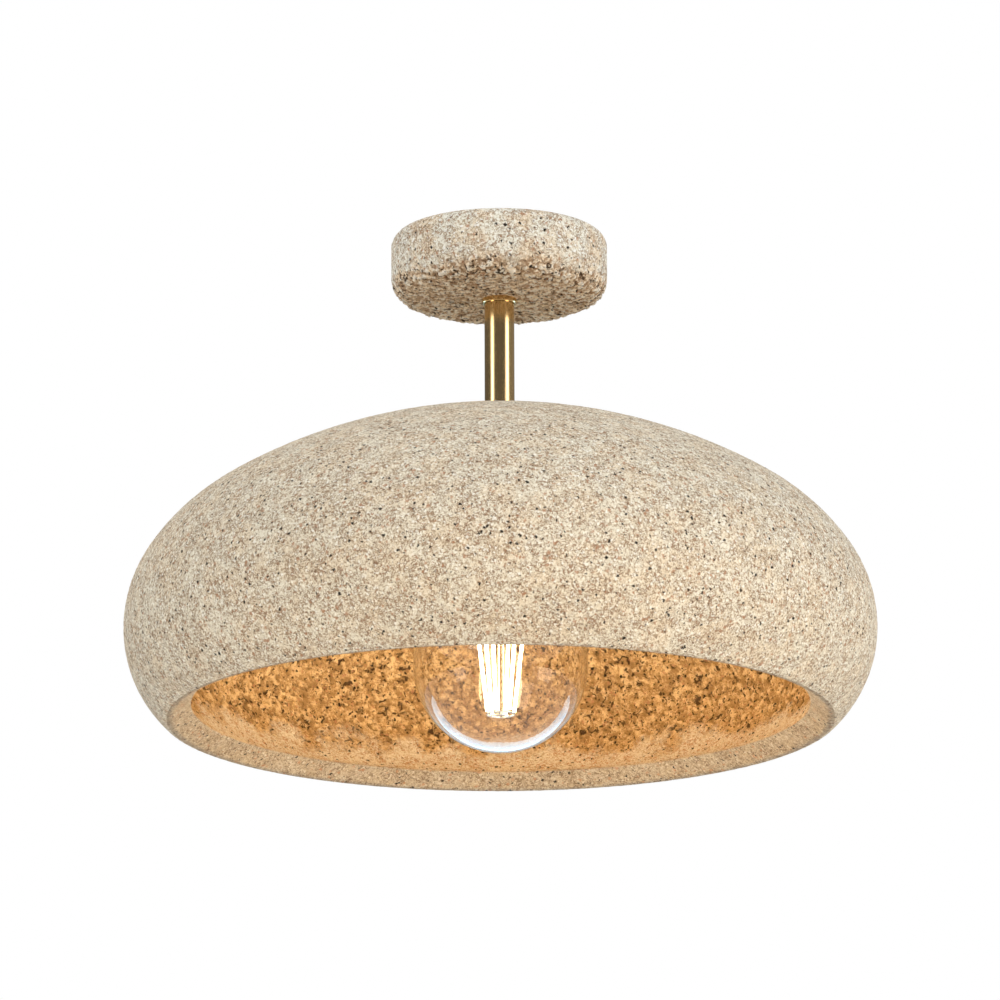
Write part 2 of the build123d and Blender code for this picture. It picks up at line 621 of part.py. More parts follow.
def block_screw():
    """The screw that holds the block to the bracket's rear arm."""
    low = STEM_TOP_Z - BLOCK_HEIGHT
    head_low = low - BLOCK_HEAD_HEIGHT
    radius = BLOCK_HEAD_RADIUS
    half = BLOCK_SLOT_SIZE / 2
    shank = ring(0, BLOCK_SCREW_RADIUS, -JOGGLE_DROP + BLOCK_SCREW_PROUD, low)
    head = ring(0, radius, low, head_low)
    head -= block(-radius, radius, -half, half, head_low - CUT_PAST, head_low + BLOCK_SLOT_SIZE)
    return Pos(*block_screw_place()) * (shank + head)


# ---- stem -----------------------------------------------------------------------------------


def stem_tube():
    """The brass tube, cross-drilled under its top bush for the wires."""
    body = ring(STEM_BORE_RADIUS, STEM_RADIUS, STEM_TOP_Z, STEM_BOTTOM_Z)
    body -= rod_along((0, 1, 0), (0, 0, WIRE_HOLE_Z), WIRE_HOLE_RADIUS, STEM_RADIUS * 2)
    return body


def stem_bush(top, length):
    """A brass bush with an M10 thread, pressed in an end of the stem."""
    return ring(ROD_RADIUS + PRESS_GAP, STEM_BORE_RADIUS - PRESS_GAP, top, top - length)


def stem_top_bush():
    """The bush that the top hollow rod is screwed in."""
    return stem_bush(STEM_TOP_Z, TOP_BUSH_LENGTH)


def stem_bottom_bush():
    """The bush that the bottom hollow rod is screwed in."""
    return stem_bush(STEM_BOTTOM_Z + BOTTOM_BUSH_LENGTH, BOTTOM_BUSH_LENGTH)


def bottom_nipple():
    """The hollow rod that runs through the crown and carries the shade and the lamp holder."""
    return hollow_rod(STEM_BOTTOM_Z + BOTTOM_BUSH_LENGTH - ROD_SHORT_OF_BUSH, ROD_BOTTOM_Z)


# ---- canopy ---------------------------------------------------------------------------------


def canopy():
    """The cast-stone cup that hides the bracket, open at the ceiling."""
    low = -CANOPY_HEIGHT
    profile = Polyline(
        (BUSH_RADIUS, low),
        (CANOPY_RADIUS, low),
        (CANOPY_RADIUS, 0),
        (CANOPY_BORE_RADIUS, 0),
        (CANOPY_BORE_RADIUS, CANOPY_FLOOR_Z),
        (BUSH_RADIUS, CANOPY_FLOOR_Z),
        close=True,
    )
    face = make_face(profile)
    corners = face.vertices()
    low_corner = corners.sort_by_distance((CANOPY_RADIUS, low))[0]
    face = fillet(low_corner, CANOPY_BOTTOM_ROUND)
    top_corner = face.vertices().sort_by_distance((CANOPY_RADIUS, 0))[0]
    face = fillet(top_corner, CANOPY_TOP_ROUND)
    inner_corner = face.vertices().sort_by_distance((CANOPY_BORE_RADIUS, CANOPY_FLOOR_Z))[0]
    face = fillet(inner_corner, CANOPY_INNER_ROUND)
    body = revolve(Plane.XZ * face, Axis.Z)
    for side in (-1, 1):
        start = (side * (CANOPY_BORE_RADIUS - CUT_PAST), 0, -GRUB_BELOW_CEILING)
        insert_hole = INSERT_LENGTH + CUT_PAST
        body -= rod_along((side, 0, 0), start, INSERT_RADIUS + PRESS_GAP, insert_hole)
        body -= rod_along((side, 0, 0), start, GRUB_RADIUS + LOOSE_GAP, CANOPY_RADIUS)
    return body


def canopy_bush():
    """The brass sleeve in the canopy's floor; it slides on the stem, and its end shows as a ring."""
    low = -CANOPY_HEIGHT - BUSH_PROUD
    flange_top = CANOPY_FLOOR_Z + BUSH_FLANGE_THICKNESS
    outer = BUSH_RADIUS - PRESS_GAP
    ease = BUSH_EASE
    corners = [(BUSH_BORE_RADIUS, low), (outer - ease, low), (outer, low + ease)]
    corners += [(outer, CANOPY_FLOOR_Z), (BUSH_FLANGE_RADIUS, CANOPY_FLOOR_Z)]
    corners += [(BUSH_FLANGE_RADIUS, flange_top), (BUSH_BORE_RADIUS, flange_top)]
    return turned(Polyline(*corners, close=True))


def canopy_inserts():
    """The two threaded brass inserts cast into the canopy's wall."""
    inserts = []
    for side in (-1, 1):
        start = (side * CANOPY_BORE_RADIUS, 0, -GRUB_BELOW_CEILING)
        insert = rod_along((side, 0, 0), start, INSERT_RADIUS, INSERT_LENGTH)
        # its inner end follows the round wall of the cup
        insert -= ring(0, CANOPY_BORE_RADIUS, 0, -CANOPY_HEIGHT)
        axis_start = (0, 0, -GRUB_BELOW_CEILING)
        insert -= rod_along((side, 0, 0), axis_start, GRUB_RADIUS + PRESS_GAP, CANOPY_RADIUS)
        inserts.append(insert)
    return Compound(inserts)


def canopy_grub_screws():
    """The two hexagon-socket screws that press on the bracket's flanges and hold the canopy up."""
    screws = []
    tip = STRIP_HALF_LENGTH + FACE_GAP / 2
    socket = extrude(
        RegularPolygon(GRUB_SOCKET_FLATS / 2, 6, major_radius=False), GRUB_SOCKET_DEPTH
    )
    for side in (-1, 1):
        start = (side * tip, 0, -GRUB_BELOW_CEILING)
        screw = rod_along((side, 0, 0), start, GRUB_RADIUS, GRUB_LENGTH)
        outer_end = (side * (tip + GRUB_LENGTH - GRUB_SOCKET_DEPTH), 0, -GRUB_BELOW_CEILING)
        screws.append(screw - Plane(outer_end, z_dir=(side, 0, 0)) * socket)
    return Compound(screws)


# ---- shade and the stack that clamps it -----------------------------------------------------


def shade():
    """The cast-stone bowl: one wall thickness all over, a round lip and a smooth cove inside it."""
    outer = stone_outline(0)
    inner = stone_outline(SHADE_WALL)
    nose = JernArc(outer[-1] @ 1, outer[-1] % 1, LIP_NOSE_RADIUS, -LIP_NOSE_TURN)
    cove = JernArc(inner[-1] @ 1, inner[-1] % 1, LIP_COVE_RADIUS, -LIP_COVE_TURN)
    bevel = Line(nose @ 1, cove @ 1)
    axis_line = Line(outer[0] @ 0, inner[0] @ 0)
    body = turned(*outer, nose, bevel, cove, *inner, axis_line)
    seat = WASHER_RADIUS + SEAT_MARGIN
    body -= ring(0, SHADE_HOLE_RADIUS, CROWN_Z + CUT_PAST, INNER_SEAT_Z - CUT_PAST)
    body -= ring(0, seat, CROWN_Z + CUT_PAST, CROWN_SEAT_Z)
    body -= ring(0, seat, INNER_SEAT_Z, INNER_SEAT_Z - CUT_PAST)
    return body


def crown_washer():
    """The brass washer between the stem and the shade."""
    bottom = STEM_BOTTOM_Z - CROWN_WASHER_THICKNESS
    return ring(ROD_RADIUS + LOOSE_GAP, WASHER_RADIUS, STEM_BOTTOM_Z, bottom)


def crown_gasket():
    """The rubber pad that keeps the brass washer off the stone."""
    top = STEM_BOTTOM_Z - CROWN_WASHER_THICKNESS
    return ring(ROD_RADIUS + LOOSE_GAP, WASHER_RADIUS, top, top - GASKET_THICKNESS)


def clamp_gasket():
    """The rubber pad under the crown, inside the shade."""
    return ring(ROD_RADIUS + LOOSE_GAP, WASHER_RADIUS, INNER_SEAT_Z, INNER_SEAT_Z - GASKET_THICKNESS)


def clamp_washer():
    """The steel washer that spreads the nut's load over the stone."""
    bottom = CLAMP_WASHER_TOP_Z - CLAMP_WASHER_THICKNESS
    return ring(ROD_RADIUS + LOOSE_GAP, WASHER_RADIUS, CLAMP_WASHER_TOP_Z, bottom)


def clamp_nut():
    """The nut that clamps the shade against the stem."""
    return hex_nut(CLAMP_NUT_TOP_Z)


# ---- lamp holder ----------------------------------------------------------------------------


def holder_cap():
    """The brass cap that is screwed on the hollow rod and covers the terminals."""
    top = HOLDER_TOP_Z
    neck_low = top - HOLDER_NECK_LENGTH
    dome_top = top - HOLDER_NECK_SHOWN
    shoulder = dome_top - HOLDER_DOME_HEIGHT
    low = HOLDER_CAP_BOTTOM_Z
    width = HOLDER_RADIUS - HOLDER_NECK_RADIUS
    bore = ROD_RADIUS + PRESS_GAP
    skin = HOLDER_SKIN
    diagonal = cos(pi / 4)
    outer_middle = (
        HOLDER_NECK_RADIUS + width * diagonal,
        shoulder + HOLDER_DOME_HEIGHT * diagonal,
    )
    inner_middle = (
        HOLDER_NECK_RADIUS + (width - skin) * diagonal,
        shoulder + (HOLDER_DOME_HEIGHT - skin) * diagonal,
    )
    lines = [
        Polyline((bore, neck_low), (bore, top), (HOLDER_NECK_RADIUS, top),
                 (HOLDER_NECK_RADIUS, dome_top)),
        ThreePointArc((HOLDER_NECK_RADIUS, dome_top), outer_middle, (HOLDER_RADIUS, shoulder)),
        Polyline((HOLDER_RADIUS, shoulder), (HOLDER_RADIUS, low), (HOLDER_RADIUS - skin, low),
                 (HOLDER_RADIUS - skin, shoulder)),
        ThreePointArc((HOLDER_RADIUS - skin, shoulder), inner_middle, (HOLDER_NECK_RADIUS, dome_top - skin)),
        Polyline((HOLDER_NECK_RADIUS, dome_top - skin), (HOLDER_NECK_RADIUS, neck_low), (bore, neck_low)),
    ]
    body = turned(*lines)
    return body - holder_grub_hole(PRESS_GAP)


def holder_grub_hole(gap):
    """The small screw across the neck's rear wall, or the hole for it with a gap."""
    start = (0, ROD_RADIUS + RUNNING_GAP - gap, HOLDER_TOP_Z - HOLDER_NECK_SHOWN / 2)
    length = HOLDER_NECK_RADIUS - ROD_RADIUS + 2 * gap
    return rod_along((0, 1, 0), start, HOLDER_GRUB_RADIUS + gap, length)


def holder_grub_screw():
    """The small screw that stops the cap from turning on the rod."""
    screw = holder_grub_hole(0)
    end_centre = (0, HOLDER_NECK_RADIUS + RUNNING_GAP, HOLDER_TOP_Z - HOLDER_NECK_SHOWN / 2)
    outline = RegularPolygon(HOLDER_GRUB_SOCKET_FLATS / 2, 6, major_radius=False)
    socket = extrude(Plane(end_centre, z_dir=(0, -1, 0)) * outline, HOLDER_GRUB_SOCKET_DEPTH)
    return screw - socket


def holder_body():
    """The brass sleeve round the thread; a ledge in it holds the porcelain insert in the cap."""
    spigot = HOLDER_SPIGOT_RADIUS
    shoulder = HOLDER_CAP_BOTTOM_Z
    top = shoulder + HOLDER_SPIGOT_LENGTH
    low = shoulder - HOLDER_BODY_LENGTH
    insert_bore = INSERT_DISC_RADIUS + PRESS_GAP
    ledge_low = INSERT_BOTTOM_Z - HOLDER_LEDGE_THICKNESS
    inner = HOLDER_RADIUS - HOLDER_SKIN
    lip_top = low + HOLDER_LIP_THICKNESS
    corners = [(insert_bore, top), (spigot, top), (spigot, shoulder), (HOLDER_RADIUS, shoulder)]
    corners += [(HOLDER_RADIUS, low), (HOLDER_MOUTH_RADIUS, low), (HOLDER_MOUTH_RADIUS, lip_top)]
    corners += [(inner, lip_top), (inner, ledge_low), (HOLDER_MOUTH_RADIUS, ledge_low)]
    corners += [(HOLDER_MOUTH_RADIUS, INSERT_BOTTOM_Z), (insert_bore, INSERT_BOTTOM_Z)]
    return turned(Polyline(*corners, close=True))


def holder_insert():
    """The porcelain disc that carries the contacts and the terminals."""
    body = ring(0, INSERT_DISC_RADIUS, INSERT_TOP_Z, INSERT_BOTTOM_Z)
    body = chamfer(body.edges().filter_by(GeomType.CIRCLE), INSERT_CHAMFER)
    for x in (SHELL_STUD_AT, -TONGUE_STUD_AT):
        stud_hole = TERMINAL_STUD_RADIUS + PRESS_GAP
        body -= Pos(x, 0) * ring(0, stud_hole, INSERT_TOP_Z + CUT_PAST, INSERT_BOTTOM_Z - CUT_PAST)
    return body


def holder_terminals():
    """The two brass terminals on the insert, each with a stud down to its contact."""
    terminals = []
    half = TERMINAL_LENGTH / 2
    top = INSERT_TOP_Z + TERMINAL_HEIGHT
    wire_z = INSERT_TOP_Z + TERMINAL_HEIGHT / 2
    for side, stud_at in ((1, SHELL_STUD_AT), (-1, TONGUE_STUD_AT)):
        near = side * TERMINAL_START
        far = side * (TERMINAL_START + TERMINAL_LENGTH)
        body = block(min(near, far), max(near, far), -half, half, INSERT_TOP_Z, top)
        body += Pos(side * stud_at, 0) * ring(0, TERMINAL_STUD_RADIUS, wire_z, INSERT_BOTTOM_Z)
        bore_start = (near - side * CUT_PAST, 0, wire_z)
        bore_length = TERMINAL_BORE_DEPTH + CUT_PAST
        body -= rod_along((side, 0, 0), bore_start, WIRE_RADIUS + RUNNING_GAP, bore_length)
        middle = side * (TERMINAL_START + half)
        body -= Pos(middle, 0) * ring(0, TERMINAL_SCREW_RADIUS + PRESS_GAP, top + CUT_PAST, wire_z)
        terminals.append(body)
    return Compound(terminals)


def holder_terminal_screws():
    """The two screws that clamp the wires in the holder's terminals."""
    screws = []
    top = INSERT_TOP_Z + TERMINAL_HEIGHT
    wire_top = INSERT_TOP_Z + TERMINAL_HEIGHT / 2 + WIRE_RADIUS + FACE_GAP / 2
    head_top = top + TERMINAL_SCREW_HEAD
    radius = TERMINAL_HEAD_RADIUS
    half = TERMINAL_SLOT_WIDTH / 2
    head = ring(0, radius, head_top, top)
    head -= block(-radius, radius, -half, half, head_top - TERMINAL_SLOT_DEPTH, head_top)
    screw = head + ring(0, TERMINAL_SCREW_RADIUS, top + TERMINAL_SCREW_HEAD / 2, wire_top)
    for side in (-1, 1):
        screws.append(Pos(side * (TERMINAL_START + TERMINAL_LENGTH / 2), 0, 0) * screw)
    return Compound(screws)


def holder_shell():
    """The threaded shell contact, with a flange under the insert and one right-hand inner ridge."""
    top = INSERT_BOTTOM_Z
    bore = HOLDER_BORE_RADIUS
    outer = HOLDER_SHELL_RADIUS
    low = top - SHELL_LENGTH
    flange = outer - SHELL_FLANGE_WIDTH
    corners = [(flange, top), (outer, top), (outer, low), (bore, low)]
    corners += [(bore, top - SHELL_THICKNESS), (flange, top - SHELL_THICKNESS)]
    body = turned(Polyline(*corners, close=True))
    embed = SHELL_THICKNESS / 2
    # half a pitch off the lamp's ridge, so that it lies in the lamp's groove
    ridge_low = THREAD_BOTTOM_Z + THREAD_PITCH / 2
    crest = bore - HOLDER_THREAD_DEPTH
    widths = (HOLDER_RIDGE_ROOT_WIDTH, HOLDER_RIDGE_CREST_WIDTH)
    ridge = thread_ridge(bore + embed, crest, widths, HOLDER_THREAD_TURNS, ridge_low)
    return body + ridge


def holder_tongue():
    """The bowed strip that touches the lamp's centre contact."""
    top = INSERT_BOTTOM_Z
    stud_end = -(TONGUE_STUD_AT + TONGUE_AT_STUD / 2)
    bend = -(TONGUE_STUD_AT - TONGUE_AT_STUD / 2)
    flat = TONGUE_AT_LAMP / 2
    low = top - TONGUE_BOW
    upper = [(stud_end, top), (bend, top), (-flat, low), (flat, low), (TONGUE_TIP_X, low + TONGUE_TIP_RISE)]
    lower = [(x, z - TONGUE_THICKNESS) for x, z in reversed(upper)]
    outline = make_face(Polyline(*upper, *lower, close=True))
    return extrude(Plane.XZ * outline, TONGUE_WIDTH / 2, both=True)


# ---- wires ----------------------------------------------------------------------------------


def fed_wire(name, side, pole_x):
    """A wire from its pole of the block, through the stem's side hole, down to its terminal."""
    across = side * WIRE_OFFSET
    in_clamp = CLAMP_START + WIRE_IN_CLAMP
    wire_z = INSERT_TOP_Z + TERMINAL_HEIGHT / 2
    points = [
        (pole_x, in_clamp, CLAMP_Z),
        (pole_x, BLOCK_START - WIRE_CLEAR_OF_BLOCK, CLAMP_Z),
        (across * WIRE_SPREAD, STEM_RADIUS + WIRE_RADIUS, WIRE_HOLE_Z + WIRE_HOLE_SLOPE),
        (across, 0, WIRE_HOLE_Z - WIRE_HOLE_SLOPE),
        (across, 0, wire_z),
        (side * (TERMINAL_START + WIRE_IN_TERMINAL), 0, wire_z),
    ]
    return wire_along(name, points)


def live_wire():
    """The brown wire to the tongue's terminal."""
    return fed_wire("live wire", -1, pole_places()[0])


def neutral_wire():
    """The blue wire to the shell's terminal."""
    return fed_wire("neutral wire", 1, pole_places()[1])


def earth_wire():
    """The green and yellow wire from the block past the stem to the lug on the front arm."""
    lug_x, lug_y = EARTH_SCREW_AT
    barrel_z = STEM_TOP_Z - WIRE_RADIUS - LUG_BARREL_WALL
    wire_end = lug_y + EARTH_HEAD_RADIUS + LUG_BARREL_START + WIRE_IN_LUG
    pole_x = pole_places()[2]
    rear_out, rear_y, rear_up = EARTH_PASS_REAR
    front_out, front_y, front_up = EARTH_PASS_FRONT
    points = [
        (pole_x, CLAMP_START + WIRE_IN_CLAMP, CLAMP_Z),
        (pole_x, BLOCK_START - EARTH_CLEAR_OF_BLOCK, CLAMP_Z),
        (lug_x + rear_out, rear_y, CLAMP_Z + rear_up),
        (lug_x + front_out, front_y, barrel_z + front_up),
        (lug_x, wire_end + WIRE_BEFORE_LUG, barrel_z),
        (lug_x, wire_end, barrel_z),
    ]
    return wire_along("earth wire", points)


# ---- lamp -----------------------------------------------------------------------------------


def bulb_contact():
    """The lamp's centre contact."""
    body = ring(0, CONTACT_RADIUS, LAMP_TIP_Z, LAMP_TIP_Z - CONTACT_THICKNESS)
    return fillet(body.edges().filter_by(GeomType.CIRCLE).group_by(Axis.Z)[-1], CONTACT_ROUND)


def bulb_insulator():
    """The black glass cone between the centre contact and the screw shell."""
    floor = LAMP_TIP_Z - CONTACT_THICKNESS
    top = floor + CONTACT_SUNK
    shoulder = LAMP_TIP_Z - INSULATOR_HEIGHT
    low = shoulder - INSULATOR_IN_SHELL
    rim = THREAD_ROOT - LAMP_SHEET - PRESS_GAP
    pocket = CONTACT_RADIUS + PRESS_GAP
    corners = [(0, floor), (pocket, floor), (pocket, top), (pocket + INSULATOR_LAND, top)]
    corners += [(rim, shoulder), (rim, low), (0, low)]
    return turned(Polyline(*corners, close=True))


def bulb_shell():
    """The lamp's screw shell: thin sheet with a right-hand ridge and a plain skirt at the glass."""
    top = LAMP_TIP_Z - INSULATOR_HEIGHT
    low = LAMP_CAP_BOTTOM_Z
    skirt_top = low + SKIRT_LENGTH
    root = THREAD_ROOT
    inner = root - LAMP_SHEET
    flare = SKIRT_RADIUS - root
    corners = [(inner, top), (root - SHELL_EDGE_IN, top), (root, top - SHELL_EDGE_DOWN)]
    corners += [(root, skirt_top + flare)]
    corners += [(SKIRT_RADIUS, skirt_top), (SKIRT_RADIUS, low), (SKIRT_RADIUS - LAMP_SHEET, low)]
    corners += [(SKIRT_RADIUS - LAMP_SHEET, skirt_top), (inner, skirt_top + flare)]
    body = turned(Polyline(*corners, close=True))
    widths = (RIDGE_ROOT_WIDTH, RIDGE_CREST_WIDTH)
    ridge = thread_ridge(root - LAMP_SHEET / 2, THREAD_CREST, widths, THREAD_TURNS, THREAD_BOTTOM_Z)
    return body + ridge


def bulb_driver():
    """The small round circuit board inside the screw shell, with its capacitor."""
    low = THREAD_BOTTOM_Z + DRIVER_ABOVE_THREAD
    face = low + DRIVER_THICKNESS
    top = face + CAPACITOR_HEIGHT
    inside = THREAD_ROOT - LAMP_SHEET - PRESS_GAP
    half = DRIVER_TAB_WIDTH / 2
    board = ring(0, DRIVER_RADIUS, face, low)
    tabs = block(-inside, inside, -half, half, low, face)
    capacitor = Pos(*CAPACITOR_AT) * ring(0, CAPACITOR_RADIUS, top, low)
    chip = block(*CHIP_X, *CHIP_Y, low, face + CHIP_HEIGHT)
    round_limit = ring(0, inside, top + CUT_PAST, low - CUT_PAST)
    return (board + tabs + capacitor + chip) & round_limit


def bulb_globe():
    """The clear glass ball, blown hollow, with its neck cemented in the skirt."""
    top = LAMP_CAP_BOTTOM_Z + SKIRT_LENGTH
    seat = SKIRT_RADIUS - LAMP_SHEET - PRESS_GAP
    outer_start, outer, outer_end = globe_outline(0)
    inner_start, inner, inner_end = globe_outline(GLASS)
    taper_z = LAMP_CAP_BOTTOM_Z - FACE_GAP
    lines = [
        Polyline((seat - GLASS, top), (seat, top), (seat, taper_z), outer_start),
        *outer,
        Line(outer_end, inner_end),
        *inner,
        Polyline(inner_start, (seat - GLASS, taper_z), (seat - GLASS, top)),
    ]
    return turned(*lines)


def bulb_stem():
    """The glass mount: a flare that closes the neck, a tube, and a rod down to the lower frame."""
    top = MOUNT_FLARE_Z
    neck = GLOBE_NECK_RADIUS - GLASS - RUNNING_GAP
    tube = MOUNT_TUBE_RADIUS
    tube_low = top - MOUNT_TUBE_LENGTH
    rod = MOUNT_ROD_RADIUS
    rod_low = FILAMENT_BOTTOM_Z - MOUNT_ROD_PAST_FILAMENTS
    waist = tube + (neck - tube) * MOUNT_FLARE_WAIST_SHARE
    corners = [(0, top), (neck, top - MOUNT_FLARE_DOME), (neck, top - MOUNT_FLARE_RIM)]
    corners += [(waist, top - MOUNT_FLARE_WAIST), (tube, top - MOUNT_FLARE_LENGTH), (tube, tube_low)]
    corners += [(rod, tube_low - MOUNT_TAPER), (rod, rod_low), (0, rod_low)]
    return turned(Polyline(*corners, close=True))


def frame_ring(circle, z, reach_in):
    """A wire ring through the filaments' ends with spokes to the glass mount."""
    wire = FRAME_WIRE_RADIUS
    body = turned(Pos(circle, z) * Circle(wire).edge())
    for number in range(FILAMENT_COUNT // 2):
        angle = radians(FILAMENT_PHASE + (2 * number + 0.5) * 360 / FILAMENT_COUNT)
        out = Vector(cos(angle), sin(angle), 0)
        body += rod_along(out, out * reach_in + Vector(0, 0, z), wire, circle - reach_in)
    return body


def bulb_upper_frame():
    """The upper support ring of the filaments."""
    z = FILAMENT_TOP_Z + FILAMENT_RADIUS + FRAME_WIRE_RADIUS
    mount = mount_radius_at(z + FRAME_WIRE_RADIUS)
    return frame_ring(FILAMENT_TOP_CIRCLE, z, mount + RUNNING_GAP)


def mount_radius_at(z):
    """The glass mount's radius at a height, along its tube and the taper below it."""
    tube_low = MOUNT_FLARE_Z - MOUNT_TUBE_LENGTH
    if z >= tube_low:
        return MOUNT_TUBE_RADIUS
    share = min((tube_low - z) / MOUNT_TAPER, 1)
    return MOUNT_TUBE_RADIUS + (MOUNT_ROD_RADIUS - MOUNT_TUBE_RADIUS) * share


def bulb_filaments():
    """The six light-emitting strips, closer together at the bottom."""
    filaments = []
    for top, bottom in filament_ends():
        along = bottom - top
        strip = rod_along(along.normalized(), top, FILAMENT_RADIUS, along.length)
        filaments.append(strip)
    return Compound(filaments)


def bulb_lower_frame():
    """The lower support ring of the filaments."""
    z = FILAMENT_BOTTOM_Z - FILAMENT_RADIUS - FRAME_WIRE_RADIUS
    return frame_ring(FILAMENT_BOTTOM_CIRCLE, z, 0)


# ---- build ----------------------------------------------------------------------------------

PIECES = [
    ceiling_bracket, top_lock_nut, top_lock_washer, top_nipple, earth_screw, earth_lug,
    terminal_block, terminal_clamps, terminal_screws, block_screw,
    stem_tube, stem_top_bush, stem_bottom_bush, bottom_nipple,
    canopy, canopy_bush, canopy_inserts, canopy_grub_screws,
    shade, crown_washer, crown_gasket, clamp_gasket, clamp_washer, clamp_nut,
    holder_cap, holder_grub_screw, holder_body, holder_insert, holder_terminals,
    holder_terminal_screws, holder_shell, holder_tongue,
    live_wire, neutral_wire, earth_wire,
    bulb_contact, bulb_insulator, bulb_shell, bulb_driver, bulb_globe, bulb_stem,
    bulb_upper_frame, bulb_filaments, bulb_lower_frame,
]

os.makedirs("parts", exist_ok=True)
for piece in PIECES:
    export_step(piece(), f"parts/{piece.__name__}.step")
print(f"crown arc radius {shade_crown_radius():.1f}")
print(f"lamp tip z {LAMP_TIP_Z:.2f}, lamp bottom z {GLOBE_BOTTOM_Z:.2f}")
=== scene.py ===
import math

import bpy
import numpy as np
from mathutils import Matrix, Vector, noise


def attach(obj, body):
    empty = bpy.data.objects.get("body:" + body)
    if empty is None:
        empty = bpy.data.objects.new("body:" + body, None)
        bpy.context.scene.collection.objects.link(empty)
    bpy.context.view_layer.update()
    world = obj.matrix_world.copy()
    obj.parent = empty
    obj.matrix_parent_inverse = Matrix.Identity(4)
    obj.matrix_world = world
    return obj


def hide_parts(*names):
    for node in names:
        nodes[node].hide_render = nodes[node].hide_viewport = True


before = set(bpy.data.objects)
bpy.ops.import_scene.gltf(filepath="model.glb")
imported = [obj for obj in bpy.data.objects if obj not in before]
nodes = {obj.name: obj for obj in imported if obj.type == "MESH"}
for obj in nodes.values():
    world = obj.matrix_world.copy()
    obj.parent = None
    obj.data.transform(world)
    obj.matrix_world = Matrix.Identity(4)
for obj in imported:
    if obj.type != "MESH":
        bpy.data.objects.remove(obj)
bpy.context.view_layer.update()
scene = bpy.context.scene


# ---- camera ---------------------------------------------------------------------------------
# The light is seen from below through a long lens, 3.85 m in front of its stem and 1.14 m under
# the ceiling. The camera leans by a fifth of a degree.
camera = bpy.data.objects.new("camera", bpy.data.cameras.new("camera"))
scene.collection.objects.link(camera)
camera.data.sensor_width = 36.0
camera.data.lens = 268.1
camera.data.clip_end = 100.0
camera_place = Matrix.Translation((0, -3.849, -1.135))
looking_up = Matrix.Rotation(math.radians(90 + 14.395), 4, "X")
leaning = Matrix.Rotation(math.radians(-0.2), 4, "Z")
camera.matrix_world = camera_place @ looking_up @ leaning
scene.camera = camera
scene.view_settings.view_transform = "Standard"


# ---- room and lamps -------------------------------------------------------------------------
# A pale floor far below, and a white room. Its lamps are a key right of the camera, a weaker one
# left of it, one low in front, one behind, and a small warm one just in front of the shade.
class Socket:
    """An output in a material. Arithmetic on it adds the Math nodes that work it out."""

    def __init__(self, finish, socket):
        self.finish = finish
        self.socket = socket

    def math(self, operation, *others):
        values = dict(enumerate((self, *others)))
        return self.finish.node("ShaderNodeMath", {"operation": operation}, values)

    def __add__(self, other):
        return self.math("ADD", other)

    def __sub__(self, other):
        return self.math("SUBTRACT", other)

    def __mul__(self, other):
        return self.math("MULTIPLY", other)

    def __rsub__(self, other):
        return self * -1 + other

    def __gt__(self, other):
        return self.math("GREATER_THAN", other)

    __radd__ = __add__
    __rmul__ = __mul__

    def ramp(self, low, high, bottom=0.0, top=1.0):
        """Rises smoothly from bottom to top as this goes from low to high."""
        values = {"Value": self, "From Min": low, "From Max": high, "To Min": bottom, "To Max": top}
        return self.finish.node("ShaderNodeMapRange", {"interpolation_type": "SMOOTHSTEP"}, values)


class Finish:
    """A material, or the room's light, with the nodes that make it."""

    def __init__(self, tree):
        self.tree = tree
        tree.nodes.clear()

    def node(self, kind, settings=(), inputs=(), output=0):
        """Adds a node, settings first, and gives back one of its outputs."""
        made = self.tree.nodes.new(kind)
        for name, value in dict(settings).items():
            setattr(made, name, value)
        for name, value in dict(inputs).items():
            if isinstance(value, Socket):
                self.tree.links.new(value.socket, made.inputs[name])
            else:
                made.inputs[name].default_value = value
        return Socket(self, made.outputs[output]) if made.outputs else None

    def mix(self, share, first, second):
        """The colour first where share is 0 and second where it is 1."""
        return self.node("ShaderNodeMix", {"data_type": "RGBA"}, {0: share, 6: first, 7: second}, 2)

    def bump(self, strength, distance, height):
        """The normal of a surface where height stands for up to this distance."""
        relief = {"Strength": strength, "Distance": distance, "Height": height}
        return self.node("ShaderNodeBump", inputs=relief)


def colour(red, green, blue):
    return (red, green, blue, 1.0)


def seen(finish):
    """1 for the camera, and for what the brass and the glass show; 0 for the light on the stone."""
    camera_ray = finish.node("ShaderNodeLightPath", output="Is Camera Ray")
    mirrored = finish.node("ShaderNodeLightPath", output="Is Glossy Ray")
    through = finish.node("ShaderNodeLightPath", output="Is Transmission Ray")
    return camera_ray.math("MAXIMUM", mirrored).math("MAXIMUM", through)


def painted(name):
    """A new material's finish."""
    material = bpy.data.materials.new(name)
    material.use_nodes = True
    finish = Finish(material.node_tree)
    finish.material = material
    return finish


def cover(finish, surface):
    """Puts the surface on the material's output and gives back the material."""
    finish.node("ShaderNodeOutputMaterial", inputs={"Surface": surface})
    return finish.material


def placed(name, data):
    """A new object with this mesh or lamp."""
    made = bpy.data.objects.new(name, data)
    scene.collection.objects.link(made)
    return made


def stage_mesh(name, places, faces, material):
    """A piece of the set, whose glow is seen but isn't sampled as a lamp."""
    mesh = bpy.data.meshes.new(name)
    mesh.from_pydata(places, [], faces)
    material.cycles.emission_sampling = "NONE"
    mesh.materials.append(material)
    made = placed(name, mesh)
    return made


ROOM_LIGHT = 0.63       # what reaches the stone of the white that the camera sees
scene.world = bpy.data.worlds.new("room")
scene.world.use_nodes = True
room = Finish(scene.world.node_tree)
strength = seen(room).ramp(0, 1, ROOM_LIGHT, 1.0)
light = room.node("ShaderNodeBackground", inputs={"Color": colour(1, 1, 1), "Strength": strength})
room.node("ShaderNodeOutputWorld", inputs={"Surface": light})

